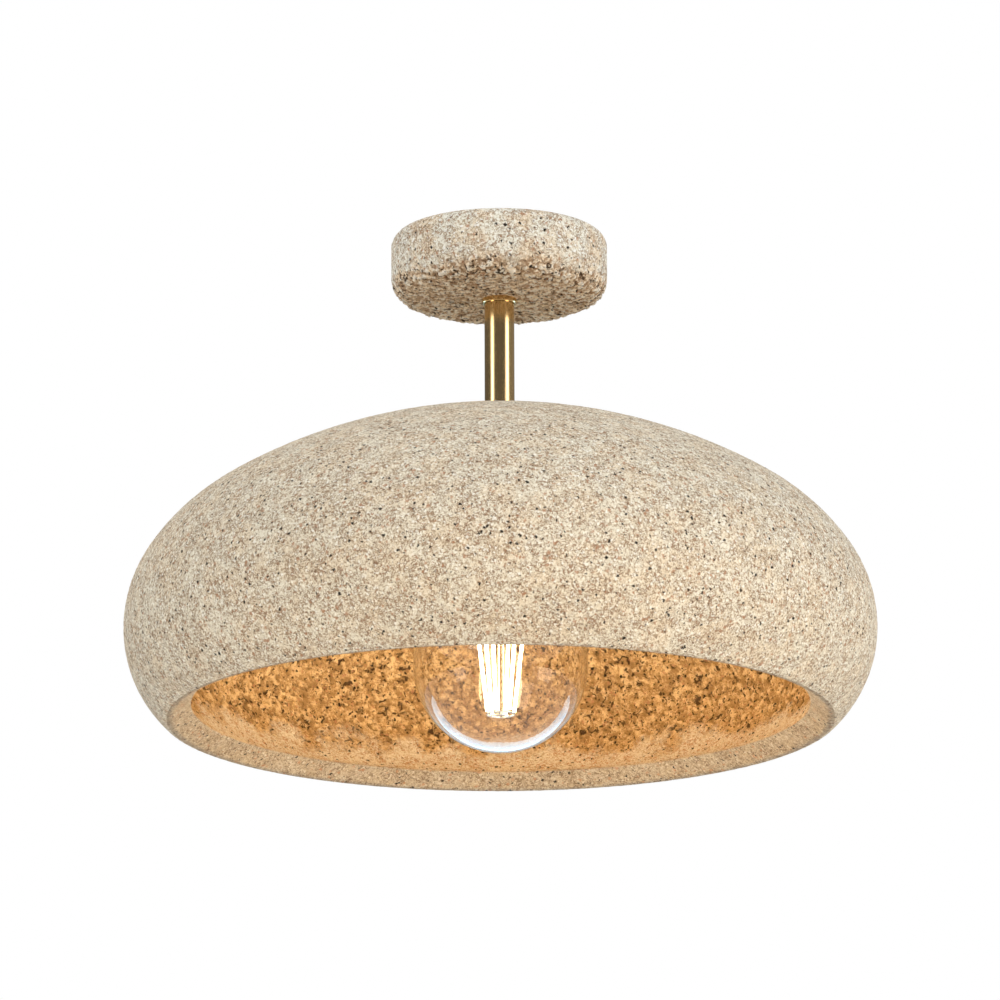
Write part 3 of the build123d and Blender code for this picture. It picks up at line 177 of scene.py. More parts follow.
FLOOR_Z = -5.6
FLOOR_REACH = 30.0
FLOOR_LIFT = 0.3        # brings the floor that is seen up to the room's white
sides = ((-1, -1), (1, -1), (1, 1), (-1, 1))
corners = [(x * FLOOR_REACH, y * FLOOR_REACH, FLOOR_Z) for x, y in sides]
paint = painted("floor_paint")
matt = paint.node("ShaderNodeBsdfDiffuse", inputs={"Color": colour(0.86, 0.86, 0.85)})
strength = seen(paint) * FLOOR_LIFT
lift = paint.node("ShaderNodeEmission", inputs={"Color": colour(1, 1, 1), "Strength": strength})
lifted = paint.node("ShaderNodeAddShader", inputs={0: matt, 1: lift})
stage_mesh("floor", corners, [range(4)], cover(paint, lifted))

LAMPS_AIM = Vector((0, 0, -0.18))   # the middle of the shade
for name, place, size, watts, tint in (
    ("key_lamp", (2.8, -1.6, 1.2), 1.4, 57.0, (0.94, 1.0, 1.08)),
    ("fill_lamp", (-2.8, -1.6, 1.2), 1.8, 46.0, (0.99, 1.0, 1.02)),
    ("low_lamp", (1.1, -1.7, -2.6), 2.0, 46.0, (1.0, 0.87, 0.72)),
    ("warm_lamp", (0.12, -0.62, -0.42), 0.2, 0.22, (1.0, 0.62, 0.25)),
    ("back_lamp", (0.0, 3.0, 0.8), 1.8, 22.0, (1.0, 0.97, 0.93)),
):
    lamp = placed(name, bpy.data.lights.new(name, "AREA"))
    lamp.data.size = size
    lamp.data.color = tint
    lamp.data.energy = watts
    lamp.location = place
    lamp.rotation_mode = "QUATERNION"
    lamp.rotation_quaternion = (LAMPS_AIM - lamp.location).to_track_quat("-Z", "Y")
    lamp.visible_camera = lamp.visible_glossy = False

CARD_FACET = 4.0        # degrees


def card(name, first, last, low, high, radius, shine, tint=(1.0, 0.96, 0.9), rise=0.0):
    """Part of an upright cylinder round the stem, which only the brass and the glass reflect.

    It runs between two bearings from the camera's side. Its lower edge rises towards both ends.
    """
    paint = painted(name)
    glowing = paint.node("ShaderNodeEmission", inputs={"Color": colour(*tint), "Strength": shine})
    bearings = np.radians(np.linspace(first, last, 1 + math.ceil((last - first) / CARD_FACET)))
    around = [(radius * math.sin(bearing), -radius * math.cos(bearing)) for bearing in bearings]
    faces = [(i, i + 1, i + 1 + len(around), i + len(around)) for i in range(len(around) - 1)]
    rises = rise * np.abs(np.linspace(-1, 1, len(around)))
    foot = [(x, y, low + more) for (x, y), more in zip(around, rises)]
    made = stage_mesh(name, foot + [(x, y, high) for x, y in around], faces, cover(paint, glowing))
    made.visible_camera = made.visible_diffuse = made.visible_transmission = False
    made.visible_shadow = made.visible_volume_scatter = False


# dark cards all round give the brass its depth, two bright strips draw the stem's two tall
# highlights, and a bright one behind draws the globe's foot
card("dark_card_front", -40, 44, -0.9, 1.3, 1.5, 0.135)
card("dark_card_right", 80, 180, -0.9, 1.3, 1.5, 0.25)
card("dark_card_left", -180, -74, -0.9, 1.3, 1.5, 0.135)
card("bright_card_right", 52, 73, -0.9, 1.3, 1.5, 4.0)
card("bright_card_left", -65, -49, -0.9, 1.3, 1.5, 4.2)
card("foot_card", 120, 240, -1.56, -0.55, 1.2, 5.6, (0.40, 0.72, 0.96), 0.88)


# ---- canopy ---------------------------------------------------------------------------------
# A cup of cast stone held against the ceiling. Its side was pressed against the mould and is
# fine-grained with pale patches; its underside was left open and is crumbly and browner.
WOBBLE = 0.0022         # how far the edges of specks stray
PAINTED_SHADOW_SHIFT = (0.0005, 0.0, 0.0006)    # from a pale grain to its painted shadow
GRAIN_BUMP = 0.0007


def stone(name, coarse, tones, bump, crumbs_across=300.0):
    """Cast stone: tan grain with black and rusty specks, and where coarse is 1 loose crumbs.

    The first five tones are the fine grain's, the last three the crumbs'. Shadows, shade and
    highlights are painted.
    """
    pale, warm, dark, dark_line, bright, chunk_light, chunk_dark_and_shade, chunk_bright_and_highlight = tones
    finish = painted(name)
    place = finish.node("ShaderNodeTexCoord", output="Object")
    coarse = coarse(finish, place)

    def cloud(scale, detail, rough, shift, distortion=0.0):
        moved = finish.node("ShaderNodeVectorMath", {"operation": "ADD"}, {0: place, 1: shift})
        look = {"Scale": scale, "Detail": detail, "Roughness": rough, "Distortion": distortion}
        return finish.node("ShaderNodeTexNoise", inputs={"Vector": moved, **look})

    look = {"Vector": place, "Scale": 850.0, "Detail": 1.0}
    wobble = finish.node("ShaderNodeTexNoise", inputs=look, output="Color")
    wobbled = {0: wobble, 1: (WOBBLE,) * 3, 2: place}
    ragged = finish.node("ShaderNodeVectorMath", {"operation": "MULTIPLY_ADD"}, wobbled)

    def specks(scale, size, share, shift):
        """Ragged specks of uneven size: 1 inside them."""
        moved = finish.node("ShaderNodeVectorMath", {"operation": "ADD"}, {0: ragged, 1: shift})
        cells = {"Vector": moved, "Scale": scale}
        distance = finish.node("ShaderNodeTexVoronoi", inputs=cells)
        cell = finish.node("ShaderNodeTexVoronoi", inputs=cells, output="Color")
        chosen = finish.node("ShaderNodeSeparateColor", inputs={0: cell}) > 1 - share
        growth = finish.node("ShaderNodeSeparateColor", inputs={0: cell}, output=1)
        distance = distance.math("DIVIDE", growth.ramp(0, 1, 0.5, 1.45))
        return distance.ramp(size, size * 0.55) * chosen

    grain = cloud(760.0, 2.0, 0.7, (0.0, 0.0, 0.0), 0.9)
    blotch = cloud(150.0, 2.0, 0.6, (0.31, 0.0, 0.2))
    patch = cloud(42.0, 3.0, 0.55, (0.0, 0.7, 0.0))
    warmth = cloud(75.0, 3.0, 0.6, (0.5, 0.1, 0.9))
    fine = finish.mix(warmth.ramp(0.4, 0.62), pale, warm)
    fine = finish.mix(patch.ramp(0.5, 0.68, 0.0, 0.45), fine, pale)
    fine = finish.mix(grain.ramp(0.50, 0.38) * 0.95, fine, dark)
    fine = finish.mix(grain.ramp(0.56, 0.66) * 0.7, fine, bright)
    winding = (cloud(360.0, 1.5, 0.5, (0.4, 0.3, 0.0), 1.2) - 0.5).math("ABSOLUTE")
    brown_lines = winding.ramp(0.05, 0.015) * blotch.ramp(0.40, 0.54)
    fine = finish.mix(brown_lines * 0.85, fine, dark_line)
    grain_place = np.array((0.6, 0.2, 0.4))
    grains = specks(450.0, 0.30, 0.85, grain_place)
    # a painted shadow beside each pale grain: the same grains shifted down and towards -X and
    # painted dark, as if lit from above and from +X
    grain_shadows = specks(450.0, 0.32, 0.85, grain_place + PAINTED_SHADOW_SHIFT)
    fine = finish.mix(grain_shadows * 0.9, fine, dark)
    fine = finish.mix(grains * 0.85, fine, bright)

    crumb = cloud(crumbs_across, 2.5, 0.65, (0.2, 0.2, 0.8), 1.4)
    crumbs = finish.mix(crumb.ramp(0.39, 0.56), chunk_dark_and_shade, chunk_light)
    crumbs = finish.mix(grain.ramp(0.50, 0.37) * 0.45, crumbs, chunk_dark_and_shade)
    crumbs = finish.mix(grain.ramp(0.53, 0.66) * 0.6, crumbs, chunk_bright_and_highlight)
    stands_out = finish.node("ShaderNodeAttribute", {"attribute_name": "stands_out"}, output="Fac")
    # the holes in the crumbly stone and the mesh's deepest hollows are painted near-black: painted
    # shade in the holes
    shaded_pits = cloud(330.0, 1.5, 0.5, (0.7, 0.0, 0.1), 0.7).ramp(0.41, 0.32)
    shaded_pits = shaded_pits * patch.ramp(0.36, 0.50, 0.35, 1.0)
    # painted shade in the hollows between crumbs, where the mesh sits below its surface, and a
    # painted highlight on the crumbs that stand out
    crumbs = finish.mix(stands_out.ramp(0.0001, -0.0005, 0.0, 0.9), crumbs, chunk_dark_and_shade)
    crumbs = finish.mix(stands_out.ramp(0.0001, 0.0005, 0.0, 0.65), crumbs, chunk_bright_and_highlight)
    shaded_pits = shaded_pits.math("MAXIMUM", stands_out.ramp(-0.0006, -0.0010))
    shaded_pits = shaded_pits.math("MAXIMUM", specks(400.0, 0.25, 0.6, (0.9, 0.5, 0.3)))
    crumbs = finish.mix(shaded_pits * 0.95, crumbs, colour(0.055, 0.03, 0.014))
    body = finish.mix(coarse, fine, crumbs)

    rust = specks(260.0, 0.23, 0.9, (0.13, 0.0, 0.0))
    dots = specks(340.0, 0.22, 0.9, (0.0, 0.0, 0.23))
    ink = specks(245.0, 0.18, 0.9, (0.0, 0.17, 0.0))
    blots = specks(150.0, 0.12, 0.8, (0.4, 0.17, 0.6))
    body = finish.mix(rust * 0.7, body, colour(0.42, 0.20, 0.10))
    body = finish.mix(dots * 0.7, body, colour(0.17, 0.105, 0.06))
    body = finish.mix(ink.math("MAXIMUM", blots) * 0.97, body, colour(0.016, 0.013, 0.011))

    relief = grain * 0.7 + grains * 0.35 + blotch * 0.3 + crumb * coarse * 1.2
    relief = relief - shaded_pits * coarse * 1.6 - brown_lines * 0.4
    shader = {
        "Base Color": body,
        "Roughness": grain.ramp(0.3, 0.7, 0.8, 0.98),
        "Specular IOR Level": 0.2,
        "Normal": finish.bump(bump, GRAIN_BUMP, relief),
    }
    return cover(finish, finish.node("ShaderNodeBsdfPrincipled", inputs=shader))


def height(finish, place):
    return finish.node("ShaderNodeSeparateXYZ", inputs={0: place}, output="Z")


def run(start, end, step):
    """Places from start towards end, a step or a little less apart, without end itself."""
    start, end = np.array(start), np.array(end)
    count = max(1, math.ceil(np.linalg.norm(end - start) / step))
    return [start + (end - start) * i / count for i in range(count)]


def direction(turn):
    """The direction (radius, z) that is so many degrees round from straight up."""
    return np.array((math.sin(math.radians(turn)), math.cos(math.radians(turn))))


def sweep(centre, radius, first, last, step):
    """(place, direction out of the centre) round an arc, between two turns from straight up."""
    count = max(1, math.ceil(radius * abs(math.radians(last - first)) / step))
    outs = [direction(first + (last - first) * i / count) for i in range(count)]
    return [(np.array(centre) + out * radius, out) for out in outs]


def straight(start, end, out, spacing, share=0.0, kind=0):
    """Rows of a straight stretch of outline that looks along out."""
    return [(r, z, out, share, kind, spacing) for r, z in run(start, end, spacing)]


MOST_COLUMNS = 1152     # places round the widest rows; narrower ones have a half, a quarter...
FEWEST_COLUMNS = 18
CROWDED = 0.62          # of the spacing, below which every second column goes
SETTLING_ROUNDS = 8     # a row can be that many rows away from one that limits it
SHARP_EDGE = 62.0       # degrees


def columns(radius, spacing):
    count = MOST_COLUMNS
    while count > FEWEST_COLUMNS and 2 * math.pi * radius / count < CROWDED * spacing:
        count //= 2
    return count


def turned_stone(name, rows, relief, materials):
    """A closed solid turned from a loop of rows: radius, z, out, relief share, finish, spacing.

    Between a row and the next, the columns stay the same, double or halve.
    """
    counts = [columns(row[0], row[5]) for row in rows]
    for _ in range(SETTLING_ROUNDS):
        after = counts[1:] + counts[:1]
        counts = [min(n, 2 * counts[i - 1], 2 * after[i]) for i, n in enumerate(counts)]
    places, starts, heights = [], [], []
    for (radius, z, out, share, kind, _), count in zip(rows, counts):
        starts.append(len(places))
        for i in range(count):
            angle = 2 * math.pi * i / count
            across = Vector((math.cos(angle), math.sin(angle), 0))
            place = across * radius + Vector((0, 0, z))
            stands = relief[kind](place) * share if share else 0.0
            places.append(place + (across * out[0] + Vector((0, 0, out[1]))) * stands)
            heights.append(stands)
    faces, wears = [], []
    for i, (count, row) in enumerate(zip(counts, rows)):
        after = (i + 1) % len(rows)
        a, b, other = starts[i], starts[after], counts[after]
        begun = len(faces)
        for k in range(min(count, other)):
            if count == other:
                n = (k + 1) % count
                faces.append((a + k, b + k, b + n, a + n))
            elif count > other:
                n, m, half = (2 * k + 2) % count, (k + 1) % other, a + 2 * k + 1
                faces += [(half - 1, b + k, half), (half, b + k, b + m), (half, b + m, a + n)]
            else:
                n, m, half = (2 * k + 2) % other, (k + 1) % count, b + 2 * k + 1
                faces += [(a + k, half - 1, half), (a + k, half, a + m), (a + m, half, b + n)]
        wears += [row[4]] * (len(faces) - begun)
    mesh = bpy.data.meshes.new(name)
    mesh.from_pydata(places, [], faces)
    for material in materials:
        mesh.materials.append(material)
    mesh.polygons.foreach_set("material_index", wears)
    mesh.attributes.new("stands_out", "FLOAT", "POINT").data.foreach_set("value", heights)
    mesh.shade_smooth()
    mesh.set_sharp_from_angle(angle=math.radians(SHARP_EDGE))
    return placed(name, mesh)


MM = 0.001


def fine_relief(place):
    """How far fine stone stands out or in."""
    bumps = 0.11 * noise.noise(place * 420) + 0.09 * noise.noise(place * 210)
    bumps += 0.05 * noise.noise(place * 800)
    pit = max(0.0, 1 - noise.voronoi(place * 130)[0][0] / 0.22)
    return MM * (bumps - 0.22 * pit)


def coarse_relief(place, across):
    """How far crumbly stone stands out or in: domed crumbs, so many to a metre, some fallen out."""
    distances, crumbs = noise.voronoi(place * across)
    dome = math.sqrt(max(0.0, 1 - (distances[0] / 0.85) ** 2))
    lift = noise.noise(crumbs[0] * 5.3)
    return MM * (0.75 * dome - 0.55 + 1.1 * lift + 0.10 * noise.noise(place * 700))


# the last three, the underside's crumb tones, are lighter than the shade's: partly the stone's
# colour, partly painted light on the underside, which the shade keeps in shadow
CANOPY_SAND_AND_UNDERLIGHT = [
    colour(0.80, 0.77, 0.65), colour(0.78, 0.64, 0.46), colour(0.42, 0.32, 0.215),
    colour(0.32, 0.18, 0.10), colour(0.97, 0.95, 0.88), colour(0.98, 0.80, 0.57),
    colour(0.42, 0.27, 0.16), colour(0.98, 0.93, 0.81),
]
CANOPY_RADIUS = 0.058
CANOPY_BORE = 0.047
CANOPY_HEIGHT = 0.036
CANOPY_FLOOR = -0.027
BUSH_HOLE = 0.0094
TOP_ROUND = 0.0075
LOW_ROUND = 0.012
INNER_ROUND = 0.004
CANOPY_GRAIN = 0.00060  # between the mesh's rows
HIDDEN_GRAIN = 0.0018
CANOPY_CRUMBS = 430     # in a metre
EDGE_WANDER = 0.003     # how far the change from fine to coarse strays up and down


def canopy_coarse(finish, place):
    """Turns coarse round the bottom edge, unevenly."""
    look = {"Vector": place, "Scale": 90.0, "Detail": 3.0}
    wander = finish.node("ShaderNodeTexNoise", inputs=look)
    z = height(finish, place) + wander.ramp(0.3, 0.7, -EDGE_WANDER, EDGE_WANDER)
    return z.ramp(-0.0265, -0.0305)


canopy_side = stone("canopy_stone", canopy_coarse, CANOPY_SAND_AND_UNDERLIGHT, 0.8)
up, down, outwards, inwards = [np.array(way) for way in ((0, 1), (0, -1), (1, 0), (-1, 0))]


def canopy_relief(place):
    """Fine on the side, coarse underneath, with a ragged change between them."""
    change = 0.0275 + EDGE_WANDER * noise.noise(place * 90)
    coarse = min(1.0, max(0.0, (-place.z - change) / 0.003 + 0.5))
    crumbs = coarse_relief(place, CANOPY_CRUMBS) * coarse * 1.15 if coarse else 0
    return fine_relief(place) * (1 - coarse) + crumbs


# the outline, from the rim's inner edge out, down the side and back up inside; the relief fades
# out towards the ceiling and towards the brass sleeve
TOP_FADE = 0.002
BUSH_FADE = 0.0015
top_edge = CANOPY_RADIUS - TOP_ROUND
low_edge = CANOPY_RADIUS - LOW_ROUND
low_z = -(CANOPY_HEIGHT - LOW_ROUND)
floor_edge = CANOPY_BORE - INNER_ROUND
wall_z = CANOPY_FLOOR + INNER_ROUND
rows = straight((CANOPY_BORE, 0), (top_edge, 0), up, HIDDEN_GRAIN)
for place, out in sweep((top_edge, -TOP_ROUND), TOP_ROUND, 0, 90, CANOPY_GRAIN):
    rows.append((*place, out, min(1.0, -place[1] / TOP_FADE), 0, CANOPY_GRAIN))
side_top, side_bottom = (CANOPY_RADIUS, -TOP_ROUND), (CANOPY_RADIUS, low_z)
rows += straight(side_top, side_bottom, outwards, CANOPY_GRAIN, 1.0)
for place, out in sweep((low_edge, low_z), LOW_ROUND, 90, 180, CANOPY_GRAIN):
    rows.append((*place, out, 1.0, 0, CANOPY_GRAIN))
for r, z in run((low_edge, -CANOPY_HEIGHT), (BUSH_HOLE, -CANOPY_HEIGHT), CANOPY_GRAIN):
    rows.append((r, z, down, min(1.0, (r - BUSH_HOLE) / BUSH_FADE), 0, CANOPY_GRAIN))
rows += straight((BUSH_HOLE, -CANOPY_HEIGHT), (BUSH_HOLE, CANOPY_FLOOR), inwards, HIDDEN_GRAIN)
rows += straight((BUSH_HOLE, CANOPY_FLOOR), (floor_edge, CANOPY_FLOOR), up, HIDDEN_GRAIN)
for place, out in sweep((floor_edge, wall_z), INNER_ROUND, 180, 90, HIDDEN_GRAIN):
    rows.append((*place, -out, 0.0, 0, HIDDEN_GRAIN))
rows += straight((CANOPY_BORE, wall_z), (CANOPY_BORE, 0), inwards, HIDDEN_GRAIN)
canopy = turned_stone("canopy_stone", rows, [canopy_relief], [canopy_side])
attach(canopy, "canopy_cup")
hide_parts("canopy")


# ---- shade ----------------------------------------------------------------------------------
# A bowl of the same cast stone, 14 mm thick, hung upside down by its crown. The outside is fine,
# the inside is crumbly down to a smooth cove, and the round lip is rubbed smooth.
CROWN_Z = -0.1026
CROWN_TURN, SHOULDER_TURN, BELLY_TURN, UNDER_TURN = 32.0, 24.75, 41.6, 38.25
SHOULDER_RADIUS, BELLY_RADIUS, UNDER_RADIUS = 0.114, 0.0685, 0.0656
SHADE_RADIUS = 0.2
SHADE_WALL = 0.014
NOSE_RADIUS, NOSE_TURN = 0.0049, 80.0
COVE_RADIUS, COVE_TURN = 0.015, 26.0
SEAT_RADIUS = 0.016
ROD_HOLE = 0.006
CROWN_SEAT_Z = -0.103
INNER_SEAT_Z = -0.1166
SHADE_GRAIN = 0.0011
SHADE_CRUMBS = 350      # in a metre
SEAT_FADE = 0.006       # the relief starts over this width round the flat seats
FINE_BELOW = -0.251     # the inside is fine from here down to the cove
BAND_WANDER = 0.008     # how far the edge of that fine band strays
OUTSIDE, INSIDE, LIP = range(3)     # the bowl's three finishes

# the crown's radius is what makes the bowl as wide as it should be at its widest
crown_sine = math.sin(math.radians(CROWN_TURN))
shoulder_sine = math.sin(math.radians(CROWN_TURN + SHOULDER_TURN))
beyond_crown = SHOULDER_RADIUS * (shoulder_sine - crown_sine) + BELLY_RADIUS * (1 - shoulder_sine)
crown_radius = (SHADE_RADIUS - beyond_crown) / crown_sine
shade_arcs = []         # first turn, last turn, centre and radius of each arc of the outer face
begin, centre = 0.0, np.array((0.0, CROWN_Z - crown_radius))
radii = (crown_radius, SHOULDER_RADIUS, BELLY_RADIUS, UNDER_RADIUS)
for radius, turn in zip(radii, (CROWN_TURN, SHOULDER_TURN, BELLY_TURN, UNDER_TURN)):
    if shade_arcs:
        centre = centre + direction(begin) * (shade_arcs[-1][3] - radius)
    shade_arcs.append((begin, begin + turn, centre, radius))
    begin += turn
lip_turn = begin


def wall(depth, first, last, kind):
    """Rows of the bowl's wall, depth inside its outer face, between two turns of the outline."""
    found = []
    for low, high, centre, radius in shade_arcs:
        low, high = max(low, first), min(high, last)
        if low < high:
            for place, out in sweep(centre, radius - depth, low, high, SHADE_GRAIN):
                share = min(1.0, max(0.0, (place[0] - SEAT_RADIUS) / SEAT_FADE))
                found.append((*place, out, share, kind, SHADE_GRAIN))
    return found


def facing_in(rows):
    """The rows the other way round, for the wall's inner face."""
    return [(r, z, -out, share, kind, spacing) for r, z, out, share, kind, spacing in rows[::-1]]


def outside_coarse(finish, place):
    """Fine all over."""
    return 0.0


def inside_coarse(finish, place):
    """Coarse except in a ragged band above the mouth."""
    look = {"Vector": place, "Scale": 45.0, "Detail": 4.0}
    wander = finish.node("ShaderNodeTexNoise", inputs=look)
    z = height(finish, place) + wander.ramp(0.3, 0.7, -BAND_WANDER, BAND_WANDER)
    return z.ramp(FINE_BELOW, -0.238)


def lip_coarse(finish, place):
    """A little coarse in patches, because it is rubbed smooth."""
    wander = finish.node("ShaderNodeTexNoise", inputs={"Vector": place, "Scale": 60.0})
    return wander.ramp(0.5, 0.7, 0.0, 0.25)


def inside_relief(place):
    """Crumbs, but only half of the fine relief in the band above the mouth."""
    above = place.z - FINE_BELOW + BAND_WANDER * noise.noise(place * 45)
    coarse = min(1.0, max(0.0, above / 0.012))
    crumbs = coarse_relief(place, SHADE_CRUMBS) * coarse if coarse else 0
    return fine_relief(place) * 0.5 * (1 - coarse) + crumbs


def lip_relief(place):
    return fine_relief(place) * 0.7


SAND = [
    colour(0.76, 0.69, 0.54), colour(0.76, 0.64, 0.465), colour(0.39, 0.285, 0.185),
    colour(0.30, 0.17, 0.095), colour(0.97, 0.92, 0.80), colour(0.62, 0.48, 0.34),
    colour(0.36, 0.25, 0.16), colour(0.80, 0.68, 0.52),
]
# the inside's last three, its crumb tones, are brown coarse stone tinted orange: partly the stone's
# colour, partly painted warm lamplight from the bulb
INSIDE_SAND_AND_LAMPLIGHT = [
    colour(0.62, 0.55, 0.44), colour(0.60, 0.50, 0.37), colour(0.44, 0.33, 0.21),
    colour(0.36, 0.17, 0.07), colour(0.70, 0.62, 0.50), colour(0.56, 0.36, 0.165),
    colour(0.29, 0.165, 0.065), colour(0.72, 0.51, 0.27),
]
LIP_SAND = [
    colour(0.46, 0.365, 0.255), colour(0.45, 0.34, 0.22), colour(0.25, 0.18, 0.11),
    colour(0.18, 0.11, 0.06), colour(0.60, 0.50, 0.37), colour(0.42, 0.31, 0.195),
    colour(0.24, 0.165, 0.10), colour(0.54, 0.42, 0.29),
]
shade_finishes = [
    stone("shade_outside_stone", outside_coarse, SAND, 0.8),
    stone("shade_inside_stone", inside_coarse, INSIDE_SAND_AND_LAMPLIGHT, 0.9, 430.0),
    stone("shade_lip_stone", lip_coarse, LIP_SAND, 0.6),
]
shade_reliefs = [fine_relief, inside_relief, lip_relief]

# the lip: a round nose, a flat and the smooth cove; the nose keeps the outside's finish at first
NOSE_OUTSIDE_SHARE = 0.35
*_, under_centre, under_radius = shade_arcs[-1]
nose_centre = under_centre + direction(lip_turn) * under_radius - direction(lip_turn) * NOSE_RADIUS
nose = sweep(nose_centre, NOSE_RADIUS, lip_turn, lip_turn + NOSE_TURN, SHADE_GRAIN)
nose_end_out = direction(lip_turn + NOSE_TURN)
nose_end = nose_centre + nose_end_out * NOSE_RADIUS
cove_centre = under_centre + direction(lip_turn) * (under_radius - SHADE_WALL)
cove_centre = cove_centre - direction(lip_turn) * COVE_RADIUS
cove = sweep(cove_centre, COVE_RADIUS, lip_turn + COVE_TURN, lip_turn, SHADE_GRAIN)
lip_rows = []
for i, (place, out) in enumerate(nose):
    kind = OUTSIDE if i < len(nose) * NOSE_OUTSIDE_SHARE else LIP
    lip_rows.append((*place, out, 1.0, kind, SHADE_GRAIN))
lip_rows += straight(nose_end, cove[0][0], nose_end_out, SHADE_GRAIN, 1.0, LIP)
lip_rows += [(*place, -out, 1.0, INSIDE, SHADE_GRAIN) for place, out in cove]

# the hole for the rod, from the inner seat up to the crown's seat
hole = run((SEAT_RADIUS, INNER_SEAT_Z), (ROD_HOLE, INNER_SEAT_Z), HIDDEN_GRAIN)
hole += run((ROD_HOLE, INNER_SEAT_Z), (ROD_HOLE, CROWN_SEAT_Z), HIDDEN_GRAIN)
hole += run((ROD_HOLE, CROWN_SEAT_Z), (SEAT_RADIUS, CROWN_SEAT_Z), HIDDEN_GRAIN)
hole_rows = []
for r, z in hole:
    hole_rows.append((r, z, up, 0.0, INSIDE if z < CROWN_SEAT_Z else OUTSIDE, SHADE_GRAIN))

# the bowl is five rings that lie face to face, cut across the wall at these turns
seat_turn = math.degrees(math.asin(SEAT_RADIUS / crown_radius))
inner_seat_turn = math.degrees(math.asin(SEAT_RADIUS / (crown_radius - SHADE_WALL)))
bands = ("crown", "upper", "shoulder", "belly", "mouth")
cuts = (seat_turn, 24.8, 40.7, 69.3, 106.7, lip_turn)
for band, first, last in zip(bands, cuts, cuts[1:]):
    loop = wall(0, first, last, OUTSIDE)
    if band == "mouth":
        loop += lip_rows
    else:
        centre, radius = next(arc[2:] for arc in shade_arcs if last <= arc[1])
        out = direction(last)
        loop.append((*(centre + out * radius), out, 1.0, OUTSIDE, SHADE_GRAIN))
        loop.append((*(centre + out * (radius - SHADE_WALL)), -out, 1.0, INSIDE, SHADE_GRAIN))
    inner_first = inner_seat_turn if band == "crown" else first
    loop += facing_in(wall(SHADE_WALL, inner_first, last, INSIDE))
    if band == "crown":
        loop += hole_rows
    piece = turned_stone(f"shade_{band}_stone", loop, shade_reliefs, shade_finishes)
    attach(piece, "fixture")
    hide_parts("shade")


# ---- brass ----------------------------------------------------------------------------------
# The stem, the sleeve that shows under the canopy, the washer on the crown and the lamp holder
# are turned brass, polished and lacquered; drawing left faint lines along the tube.
METAL_BUMP = 0.00005


def metal(name, tint, dark_tint, rough, lines, scale, bump=0.1):
    """A metal with faint marks, which run along Z where lines is below 1 and round it above 1."""
    finish = painted(name)
    place = finish.node("ShaderNodeTexCoord", output="Object")
    stretch = {0: place, 1: (1.0, 1.0, lines)}
    drawn = finish.node("ShaderNodeVectorMath", {"operation": "MULTIPLY"}, stretch)
    look = {"Vector": drawn, "Scale": scale, "Detail": 3.0, "Roughness": 0.6}
    streak = finish.node("ShaderNodeTexNoise", inputs=look)
    look = {"Vector": place, "Scale": 60.0, "Detail": 2.0}
    cloud = finish.node("ShaderNodeTexNoise", inputs=look)
    darker = streak.ramp(0.35, 0.65, 0.0, 0.5) + cloud.ramp(0.4, 0.7, 0.0, 0.4)
    shader = {
        "Base Color": finish.mix(darker, tint, dark_tint),
        "Roughness": cloud.ramp(0.3, 0.7, rough * 0.85, rough * 1.25),
        "Metallic": 1.0,
        "Normal": finish.bump(bump, METAL_BUMP, streak),
    }
    return cover(finish, finish.node("ShaderNodeBsdfPrincipled", inputs=shader))


def wear(material, *names):
    """Gives CAD nodes this material."""
    for name in names:
        nodes[name].data.materials.clear()
        nodes[name].data.materials.append(material)


tints = colour(0.83, 0.60, 0.30), colour(0.74, 0.51, 0.24)
polished_brass = metal("polished_brass", *tints, 0.17, 0.02, 2600.0, 0.05)
wear(polished_brass, "stem_tube", "canopy_bush", "crown_washer")
tints = colour(0.80, 0.58, 0.30), colour(0.66, 0.46, 0.22)
wear(metal("turned_brass", *tints, 0.26, 30.0, 260.0), "holder_cap", "holder_body")
tints = colour(0.74, 0.56, 0.31), colour(0.55, 0.39, 0.20)
raw_brass = metal("raw_brass", *tints, 0.36, 1.0, 700.0)
wear(raw_brass, "stem_top_bush", "stem_bottom_bush", "canopy_inserts", "terminal_clamps")
wear(raw_brass, "holder_terminals")


# ---- steel ----------------------------------------------------------------------------------
# The bracket, the hollow rods, nuts, washers and screws are zinc-plated steel with a cloudy,
# faintly blue plating; the canopy's two side screws are blackened.
tints = colour(0.64, 0.66, 0.68), colour(0.47, 0.49, 0.53)
zinc = metal("zinc_plate", *tints, 0.33, 1.0, 420.0, 0.25)
wear(zinc, "ceiling_bracket", "top_lock_nut", "top_lock_washer", "top_nipple", "bottom_nipple")
wear(zinc, "clamp_washer", "clamp_nut", "earth_screw", "block_screw", "terminal_screws")
wear(zinc, "holder_terminal_screws", "holder_grub_screw")
tints = colour(0.045, 0.045, 0.05), colour(0.02, 0.02, 0.022)
wear(metal("blackened_steel", *tints, 0.45, 1.0, 900.0, 0.3), "canopy_grub_screws")


# ---- contacts -------------------------------------------------------------------------------
# The earth lug and the centre tongue are tinned copper, the two screw shells and the lamp's
# wire rings nickel-plated sheet and wire, and the lamp's tip is a drop of solder.
tints = colour(0.69, 0.67, 0.63), colour(0.55, 0.52, 0.48)
wear(metal("tin_plate", *tints, 0.38, 1.0, 800.0, 0.2), "earth_lug", "holder_tongue")
tints = colour(0.72, 0.70, 0.66), colour(0.58, 0.56, 0.52)
nickel = metal("nickel_plate", *tints, 0.22, 1.0, 500.0, 0.15)
wear(nickel, "holder_shell", "bulb_shell", "bulb_upper_frame", "bulb_lower_frame")
tints = colour(0.60, 0.60, 0.61), colour(0.38, 0.38, 0.40)
wear(metal("solder", *tints, 0.42, 1.0, 1500.0, 0.6), "bulb_contact")


# ---- insulating parts -----------------------------------------------------------------------
# The rubber pads, the porcelain disc, the terminal block, the lamp's black glass cone and its
# circuit board, and the wires' sleeves are moulded or coated, each with its own fine texture.
MOULDED_BUMP = 0.0001


